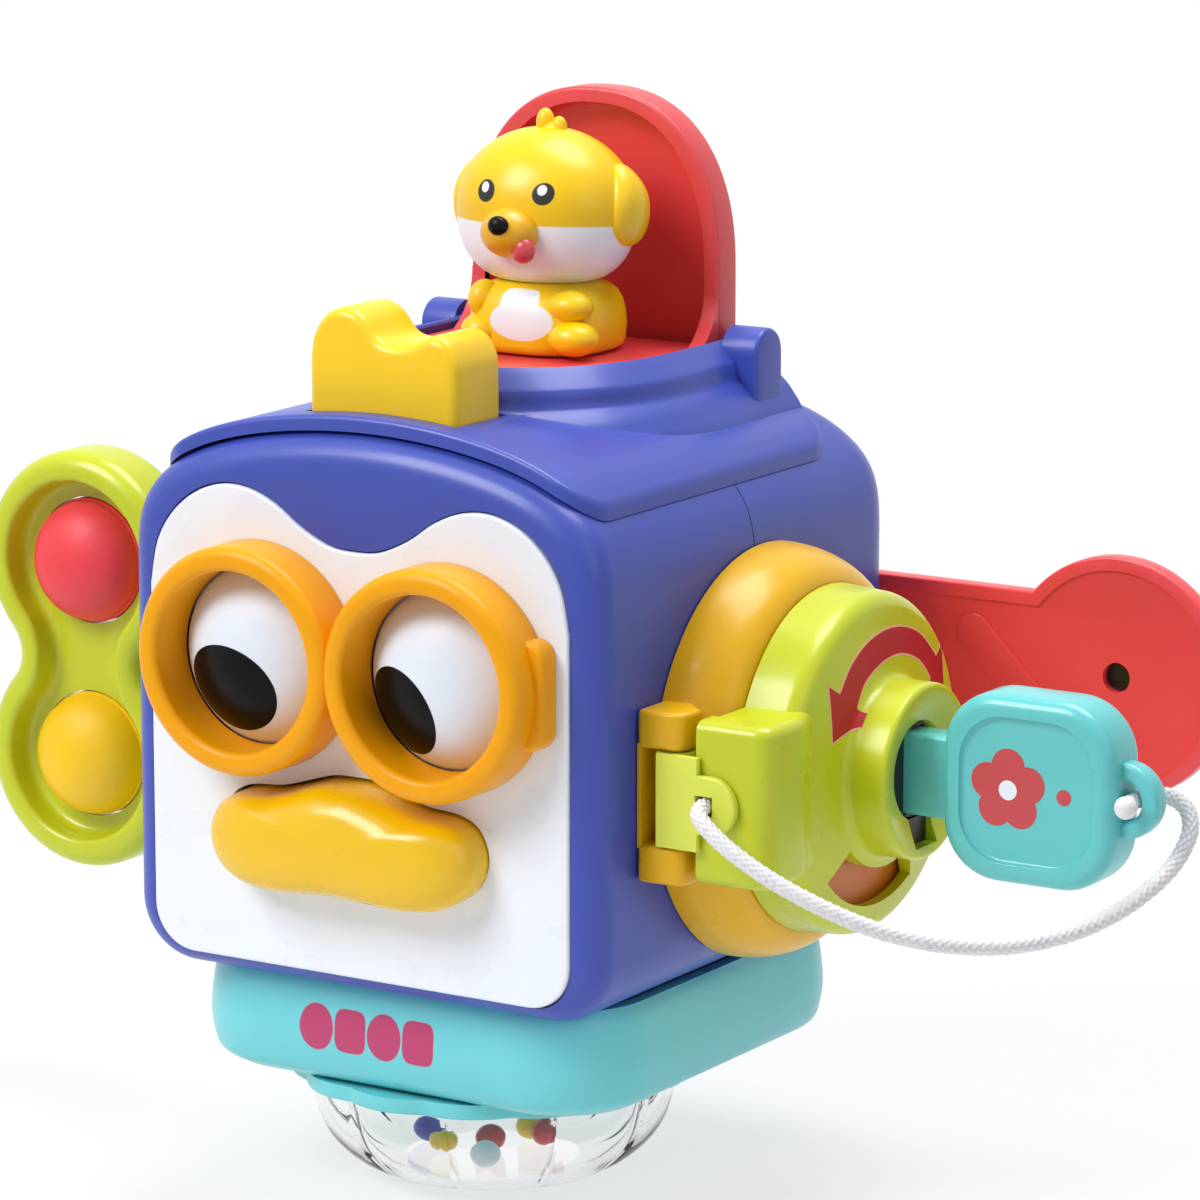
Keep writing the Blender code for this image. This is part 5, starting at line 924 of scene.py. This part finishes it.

# Rotor behind the keyhole
# Black acetal cylinder with a slot for the key, an orange disc seen through the window and a white tongue.
# A black plate in the door's keyhole below it is painted shade, darkening the slot's floor.
rotor_black = moulded_plastic("rotor_black_acetal", "#16140F", 0.4, 0.0, 0.2)
disc_orange = moulded_plastic("disc_orange_abs", "#D97414", 0.35, 0.0, 0.2)
rotor_form = carve(rod(10.0, (73.4, *axle), (96.6, *axle), 64), block((80.4, -1.3, 89.0), (98.0, 7.3, 107.2)))
make_piece("lock_cylinder_look", rotor_form, rotor_black, "rotor", ["lock_cylinder"])
# Painted shade: a black sheet at the bottom of the keyhole slot, where the slot lies in shadow.
make_piece("keyhole_shade_plate", block((93.22, -1.45, 82.15), (97.2, 7.45, 88.0)), rotor_black, "door")
coat_nodes(disc_orange, "lock_disc")
coat_nodes(white_abs, "lock_tongue")

# Key
# Teal ABS moulded in one: a flat shank, a thick rounded square head with a sunk panel on each side, and a
# half-ring lug for the cord. A red flower with a white middle is printed on the front panel.
teal_abs = moulded_plastic("teal_moulded_abs", "#63C8C9", 0.3, 0.25, 0.2)
key_front = -4.0
key_back = 10.0
lug_front = 0.4
lug_back = 5.6
lug_place = (146.7, axle[1])
shank_form = block((80.7, -1.0, 89.3), (112.0, 7.0, 106.9))
soften(shank_form, shank_form.edges[:], 1.0, 4)
head_line = rounded_box((106.7, 78.1), (146.7, 118.1), 12.5, 10)
panel_line = rounded_box((111.2, 82.6), (142.2, 113.6), 10.2, 10)
key_form = soft_slab(head_line, "Y", key_front, key_back, [key_front, key_back], 3.2, 7)
key_form = carve(key_form, *[soft_slab(panel_line, "Y", low, high, [level], 0.9, 4)
                             for low, high, level in ((-8.0, -2.9, -2.9), (8.9, 14.0, 8.9))])
soften(key_form, sharp_edges(key_form, lambda p: p.y < -3.9 or p.y > 9.9), 0.9, 4)
lug_line = arc(lug_place, 8.1, -90, 90, 28) + [(144.5, 106.2), (144.5, 102.4)]
lug_line += arc(lug_place, 4.3, 90, -90, 20) + [(144.5, 93.8), (144.5, 90.0)]
lug_form = soft_slab(lug_line, "Y", lug_front, lug_back, [lug_front, lug_back], 1.2, 5)
key_form = gather(shank_form, key_form, lug_form)
make_piece("key_look", key_form, teal_abs, "key_body", ["key"], 36.0)
flower_x = 122.2
petals = []
for petal in range(5):
    turn = math.radians(90 + petal * 72)
    x, z = flower_x + 4.9 * math.cos(turn), axle[1] + 4.9 * math.sin(turn)
    petals.append(rod(3.9, (x, -2.98, z), (x, -2.5, z), 40))
flower_ink = moulded_plastic("flower_ink", "#C8444B", 0.35, 0.2, 0.1)
flower = gather(fuse(*petals), rod(1.7, (135.2, -2.98, axle[1]), (135.2, -2.5, axle[1]), 32))
make_piece("key_flower_print", flower, flower_ink, "key_body")
make_piece("key_flower_middle", rod(2.1, (flower_x, -3.03, axle[1]), (flower_x, -2.6, axle[1]), 32), white_abs,
           "key_body")

# Cord of the key
# White braided polyester, 3.6 mm thick, 16 strands: knotted behind the tab and in the key's lug.
# Its weave is drawn as two families of low ridges that cross.
cord_white, cord_tree, cord_shader = new_material("braided_polyester", {
    "Base Color": srgb("#E9E8EA"), "Roughness": 0.75, "Sheen Weight": 0.3})
cord_fibre = add_node(cord_tree, "ShaderNodeTexNoise", inputs={"Scale": 9000.0, "Detail": 1.0}, links={
    "Vector": add_node(cord_tree, "ShaderNodeTexCoord").outputs["Object"]})
cord_fuzz = add_node(cord_tree, "ShaderNodeBump", inputs={"Strength": 0.4, "Distance": 0.00004},
                     links={"Height": cord_fibre.outputs["Fac"]})
cord_tree.links.new(cord_fuzz.outputs["Normal"], cord_shader.inputs["Normal"])
cord_route = [(0.0765, -0.0455, 0.0981), (0.0766, -0.0500, 0.0979), (0.0785, -0.0530, 0.0962),
              (0.0850, -0.0535, 0.0915), (0.0940, -0.0520, 0.0860), (0.1040, -0.0480, 0.0805),
              (0.1140, -0.0420, 0.0757), (0.1240, -0.0340, 0.0725), (0.1335, -0.0240, 0.0712),
              (0.1420, -0.0135, 0.0725), (0.1492, -0.0035, 0.0765), (0.1548, 0.0055, 0.0830),
              (0.1572, 0.0105, 0.0900), (0.1557, 0.0128, 0.0948), (0.1522, 0.0122, 0.0974),
              (0.1492, 0.0090, 0.0981), (0.1487, 0.0050, 0.0981), (0.1488, 0.0005, 0.0981),
              (0.1499, -0.0042, 0.0981)]
cord_radius = 1.85
weave_depth = 0.5
weave_pitch = 1.7
weave_ridges = 4
cord_sides = 48
cord_pieces = 30
cord_points = smooth_line(cord_route, False, cord_pieces)
cord_split = 11 * cord_pieces
cord_rings = []
travelled = 0.0
side_way = Vector((0, 0, 1))
for at, place in enumerate(cord_points):
    point = Vector(place) / MM
    before = Vector(cord_points[max(at - 1, 0)]) / MM
    ahead = (Vector(cord_points[min(at + 1, len(cord_points) - 1)]) / MM - before).normalized()
    side_way = (side_way - ahead * side_way.dot(ahead)).normalized()
    other_way = ahead.cross(side_way)
    travelled += (point - before).length
    ring = []
    for step in range(cord_sides):
        angle = 2 * math.pi * step / cord_sides
        weave = abs(math.sin(weave_ridges * angle + travelled * weave_pitch)) * abs(
            math.sin(weave_ridges * angle - travelled * weave_pitch))
        radius = cord_radius - weave_depth * (1 - math.sqrt(weave))
        ring.append(point + side_way * radius * math.cos(angle) + other_way * radius * math.sin(angle))
    cord_rings.append(ring)
# The run from the tab, between door and hanging cord, and the end in the lug, between hanging cord and key;
# the bodies and end points listed are not used, and both runs are baked in place
for name, first, last, near, far, start, end in (
        ("key_cord_look", 0, cord_split, "door", "cord_body",
         (0.0766, -0.0500, 0.0979), (0.1487, 0.0050, 0.0981)),
        ("key_cord_end_look", cord_split, len(cord_points) - 1, "cord_body", "key_body",
         (0.1572, 0.0105, 0.0900), (0.1492, 0.0090, 0.0981))):
    run = cord_points[first:last + 1]
    nodes = ["key_cord"] if first == 0 else []
    cord = make_piece(name, lofted(cord_rings[first:last + 1]), cord_white, None, nodes, 60.0)
    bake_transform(cord)
make_piece("cord_knot_look", ball((149.9, -3.9, 98.1), (2.4, 2.3, 2.4), 32, 20), cord_white, "key_body",
           crease=60.0)

# Wind-up handle
# Lime ABS figure of eight, dished from both sides to a thin web with two bores.
# Its round stem goes into the body's left wall.
handle_front = -5.5
handle_back = 11.5
handle_x = -117.5
red_height = 120.7
yellow_height = 75.5
bubble_offset = 22.6


def bow_outline(grow=0.0, steps=20):
    """Figure of eight round the two bubbles, in (x, z): two big arcs and two waist arcs that touch them."""
    radius = 25.8 + grow
    waist = 17.2 + grow
    spread = (bubble_offset ** 2 - radius ** 2 + waist ** 2) / (2 * (radius - waist))
    turn = math.degrees(math.atan2(bubble_offset, waist + spread))
    out = arc((handle_x, red_height), radius, -turn, 180 + turn, 2 * steps)
    out += arc((handle_x - waist - spread, axle[1]), spread, turn, -turn, steps)[1:-1]
    out += arc((handle_x, yellow_height), radius, 180 - turn, 360 + turn, 2 * steps)
    out += arc((handle_x + waist + spread, axle[1]), spread, 180 + turn, 180 - turn, steps)[1:-1]
    return out


handle_form = soft_slab(bow_outline(), "Y", handle_front, handle_back, [handle_front, handle_back], 4.5, 8)
handle_form = carve(handle_form, *[soft_slab(bow_outline(-6.8), "Y", low, high, [level], 2.2, 5)
                                   for low, high, level in ((-9.0, 1.5, 1.5), (4.5, 15.0, 4.5))])
soften(handle_form, sharp_edges(handle_form, lambda p: p.y < -5.4 or p.y > 11.4), 1.6, 5)
handle_form = carve(handle_form, *[rod(14.7, (handle_x, -2, z), (handle_x, 8, z), 72)
                                   for z in (red_height, yellow_height)])
handle_form = gather(handle_form, rod(4.4, (-103.7, *axle), (-42.9, *axle)))
make_piece("bubble_handle_look", handle_form, lime_abs, "handle", ["bubble_handle"], 34.0)

# Pop bubbles
# Soft silicone domes, matt, moulded with a thin wall and a thicker lip that sits in the handle's bore.
# They press through the handle from either side.
bubble_wall = 1.2
bubble_line = []
for at in range(19):
    bend = math.pi / 2 * at / 18
    bubble_line.append((13.9 * math.sin(bend), 0.9 - 9.75 * math.cos(bend)))
bubble_line += [(13.95, 1.1), (14.25, 1.15), (14.4, 1.4), (14.4, 4.2), (14.2, 4.5), (13.0, 4.5), (12.7, 2.0)]
for at in range(9, -1, -1):
    bend = math.pi / 2 * at / 9
    bubble_line.append((12.7 * math.sin(bend), 0.9 - (9.75 - bubble_wall) * math.cos(bend)))
for name, colour, z in (("red", "#EE4149", red_height), ("yellow", "#F6C60E", yellow_height)):
    silicone = moulded_plastic(name + "_bubble_silicone", colour, 0.48, 0.0, 0.3)
    silicone_shader = silicone.node_tree.nodes["Principled BSDF"]
    silicone_shader.inputs["Subsurface Weight"].default_value = 0.08
    silicone_shader.inputs["Subsurface Radius"].default_value = (0.004, 0.003, 0.002)
    make_piece(name + "_bubble_look", spun(bubble_line, (handle_x, axle[0], z), "Y"), silicone, name + "_pop",
               [name + "_bubble"], 40.0)

# Handle's bush and click work
# Lime bush in the left wall, a white ratchet wheel on the stem and a steel leaf that clicks on it.
# All pins, springs, axles and screws are of the same bright steel.
steel, steel_tree, steel_shader = new_material("bright_steel", {
    "Base Color": srgb("#C4C6C9"), "Metallic": 1.0})
steel_grain = add_node(steel_tree, "ShaderNodeTexNoise", inputs={"Scale": 3000.0, "Detail": 2.0}, links={
    "Vector": add_node(steel_tree, "ShaderNodeTexCoord").outputs["Object"]})
steel_gloss = add_node(steel_tree, "ShaderNodeMapRange", inputs={"To Min": 0.22, "To Max": 0.36},
                       links={"Value": steel_grain.outputs["Fac"]})
steel_tree.links.new(steel_gloss.outputs["Result"], steel_shader.inputs["Roughness"])
coat_nodes(lime_abs, "handle_bush")
coat_nodes(white_abs, "handle_ratchet")
coat_nodes(steel, "click_leaf", "rattle_axle",
           *[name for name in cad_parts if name.endswith(("_pin", "_spring")) or "screw" in name])

# Holders inside the face
# White ABS holder with a pocket for each eye, and the beak's silicone squeaker in front of it.
# The button's spring and the beak's squeaker, which shorten as the button goes down and the beak goes in, are
# given meshes of their own.
squeaker = moulded_plastic("squeaker_silicone", "#E9E4DA", 0.5, 0.0, 0.2)
holder_line = [(-57.4, 142.8), (-27.2, 142.8), (-27.2, 99.8), (-51.9, 99.8), (-51.9, 97.4), (-27.2, 97.4),
               (-27.2, 72.7), (-24.8, 72.7), (-24.8, 145.2), (-57.4, 145.2)]
holder_form = slab(holder_line, "X", -43.5, 43.5)
for x in (-eye_x, eye_x):
    holder_form = carve(holder_form, rod(23.9, (x, eye_y, 100.0), (x, eye_y, 142.7), 96),
                        rod(1.8, (x, eye_y, 96.0), (x, eye_y, 147.0), 24))
make_piece("eye_holder_look", holder_form, white_abs, "housing", ["eye_carrier"])
coat_nodes(squeaker, "beak_squeaker")
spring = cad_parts["crown_spring"]
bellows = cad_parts["beak_squeaker"]
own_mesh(spring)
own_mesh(bellows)

# Rear flap
# Red ABS paddle with a raised rim, a slanting rib, a blind hole in its round end and a knuckle on a steel pin.
# The hole's floor is painted dark as shade.
flap_red = moulded_plastic("flap_red_abs", "#F0464A", 0.34, 0.1, 0.25)
flap_x, flap_z = 113, 108.6
flap_front = 62.7
flap_back = 67.1
flap_hole_floor = 65.5
# Painted shade: near-black over the floor and lower wall of the blind hole, where the recess lies in shadow.
print_and_shade_on(flap_red, "#120607", (flap_x, flap_hole_floor, flap_z), (3.38, 2.1, 3.38))


def flap_outline(grow=0.0, steps=72):
    """The paddle seen from the front: a round end and a straight arm."""
    radius = 26.6 + grow
    tall = 16.9 + grow
    meet = math.degrees(math.asin(tall / radius))
    return arc((flap_x, flap_z), radius, -180 + meet, 180 - meet, steps) + [
        (52.4 - grow, flap_z + tall), (52.4 - grow, flap_z - tall)]


flap_form = soft_slab(flap_outline(), "Y", flap_front, flap_back, [flap_front, flap_back], 0.6, 3)
flap_dish = soft_slab(flap_outline(-3.0), "Y", 60.0, 63.3, [63.3], 0.3, 2)
rib_line = arc((78.0, 114.9), 4.2, 45, 225, 16) + arc((93.0, 99.9), 4.2, 225, 405, 16)
rib_form = soft_slab(rib_line, "Y", 62.75, 64.5, [62.75], 0.3, 3)
flap_hole = rod(3.3, (flap_x, 61, flap_z), (flap_x, flap_hole_floor, flap_z), 40)
flap_form = carve(fuse(carve(flap_form, flap_dish), rib_form), flap_hole)
flap_form = gather(flap_form, rod(2.9, (*flap_pin, 100.1), (*flap_pin, 117.1), 32),
                   block((49, 63.9, 100.1), (54.8, 67.05, 117.1)))
make_piece("rear_flap_look", flap_form, flap_red, "flap", ["rear_flap"])

# Base tray
# Teal ABS tray with drawn-in sides, screwed under the body from below.
# Magenta shapes are printed on its front.
tray_teal = moulded_plastic("tray_teal_abs", "#6FD3D9", 0.34, 0.15, 0.25)
for x, wide, boxy in ((-16.2, 4.4, False), (-7.5, 4.0, True), (1.2, 4.4, False), (9.9, 4.0, True)):
    print_and_shade_on(tray_teal, "#C03A6C", (x, -56, 39.2), (wide, 8, wide + 0.8), boxy)
tray_low = 26.4
rattle_y = -11
tray_rings = []
for inset, height in [(8.0, tray_low)] + smooth_line(
        [(5.5, tray_low), (1.8, 28.73), (0.4, 32.92), (0.0, 38.05), (1.0, 46.2), (2.6, 49.7)], False, 5):
    wide, deep = 54.5 - inset, 55.0 - inset
    line = rounded_box((-wide, -deep), (wide, deep), 22.0 - inset, 12)
    tray_rings.append([(x, y, height) for x, y in line])
tray_form = carve(lofted(tray_rings), slab(rounded_box((-49, -49.5), (49, 49.5), 17, 10), "Z", 29.0, 60.0))
for x, y in ((-38, -38), (38, -38), (-38, 38), (38, 38)):
    tray_form = fuse(tray_form, rod(4.0, (x, y, 27.6), (x, y, 49.7), 24))
    tray_form = carve(tray_form, rod(3.0, (x, y, 24.0), (x, y, 41.9), 24))
tray_form = fuse(tray_form, rod(5.2, (0, rattle_y, 27.6), (0, rattle_y, 42.4), 32))
tray_form = carve(tray_form, rod(2.3, (0, rattle_y, 24.0), (0, rattle_y, 39.9), 24))
make_piece("base_tray_look", tray_form, tray_teal, "housing", ["base_tray"])

# Rattle foot
# Teal ring with a scalloped edge over a clear styrene dome of ten lobes, with six loose ABS beads inside.
# The dome's wall is moulded with a slight ripple.
scallops = 14
ring_low = 22.7
scallop_points = scallops * 12
scallop_line = []
for at in range(scallop_points):
    angle = 2 * math.pi * at / scallop_points
    radius = 44.0 - 1.6 * (1 - abs(math.sin(angle * scallops / 2)))
    scallop_line.append((radius * math.cos(angle), rattle_y + radius * math.sin(angle)))
ring_form = soft_slab(scallop_line, "Z", ring_low, 26.1, [ring_low], 0.6, 3)
ring_form = carve(ring_form, rod(41.0, (0, rattle_y, 18), (0, rattle_y, 24.3), 96),
                  rod(2.3, (0, rattle_y, 20), (0, rattle_y, 30), 24))
make_piece("rattle_ring_look", ring_form, tray_teal, "rattle", ["rattle_ring"])
clear_styrene, clear_tree, clear_shader = new_material("clear_styrene", {
    "Base Color": (1, 1, 1, 1), "Roughness": 0.02, "IOR": 1.4, "Transmission Weight": 1.0})
clear_ripple = add_node(clear_tree, "ShaderNodeTexNoise", inputs={"Scale": 90.0}, links={
    "Vector": add_node(clear_tree, "ShaderNodeTexCoord").outputs["Object"]})
clear_bump = add_node(clear_tree, "ShaderNodeBump", inputs={"Strength": 0.1, "Distance": 0.0003},
                      links={"Height": clear_ripple.outputs["Fac"]})
clear_tree.links.new(clear_bump.outputs["Normal"], clear_shader.inputs["Normal"])
dome_height = 24.0
dome_wall = 1.4
dome_lobes = 10
dome_foot_radius = 20.0
dome_spread = 20.7
dome_shares = [(1.0, 1.0), (0.965, 0.74), (0.86, 0.49), (0.66, 0.27), (0.38, 0.10), (0.0, 0.0)]


def dome_skin(inset):
    """Rings of the dome from its rim down to its foot, each lobed less towards the rim and the foot."""
    rings = []
    for run, rise in smooth_line(dome_shares, False, 5):
        height = dome_height * rise
        if inset:
            shrunk = height * (dome_height - inset) / dome_height + inset
            height = max(shrunk, inset) if rise < 1.0 else dome_height
        fade = min(4 * max(rise, 0.0), 1.0) * min(4 * (1.0 - rise) + 0.15, 1.0)
        ring = []
        for at in range(240):
            angle = 2 * math.pi * at / 240
            dent = 1 - abs(math.sin(angle * dome_lobes / 2)) ** 0.6
            reach = (dome_foot_radius + dome_spread * run - inset) * (1 - 0.055 * dent * fade)
            ring.append((reach * math.cos(angle), rattle_y + reach * math.sin(angle), height))
        rings.append(ring)
    return rings


make_piece("rattle_dome_look", lofted(dome_skin(0.0)[::-1] + dome_skin(dome_wall)), clear_styrene, "rattle",
           ["rattle_dome"], 50.0)
bead_radius = 3.4
bead_spread = 18.3
for number, (right, back, colour) in enumerate(((0.42, 0.55, "#C00008"), (-0.92, -0.05, "#0A2FA8"),
                                                (-0.47, -0.39, "#E0BC00"), (-0.05, 0.02, "#A80810"),
                                                (0.10, 0.70, "#E0BC00"), (0.30, -0.62, "#D8E4E6")), 1):
    bead = ball((right * bead_spread, rattle_y + back * bead_spread, 5.1), [bead_radius] * 3, 32, 20)
    bead_plastic = moulded_plastic("bead_%d_abs" % number, colour, 0.25, 0.1, 0.1)
    make_piece("rattle_bead_%d_look" % number, bead, bead_plastic, "rattle", ["rattle_bead_%d" % number])
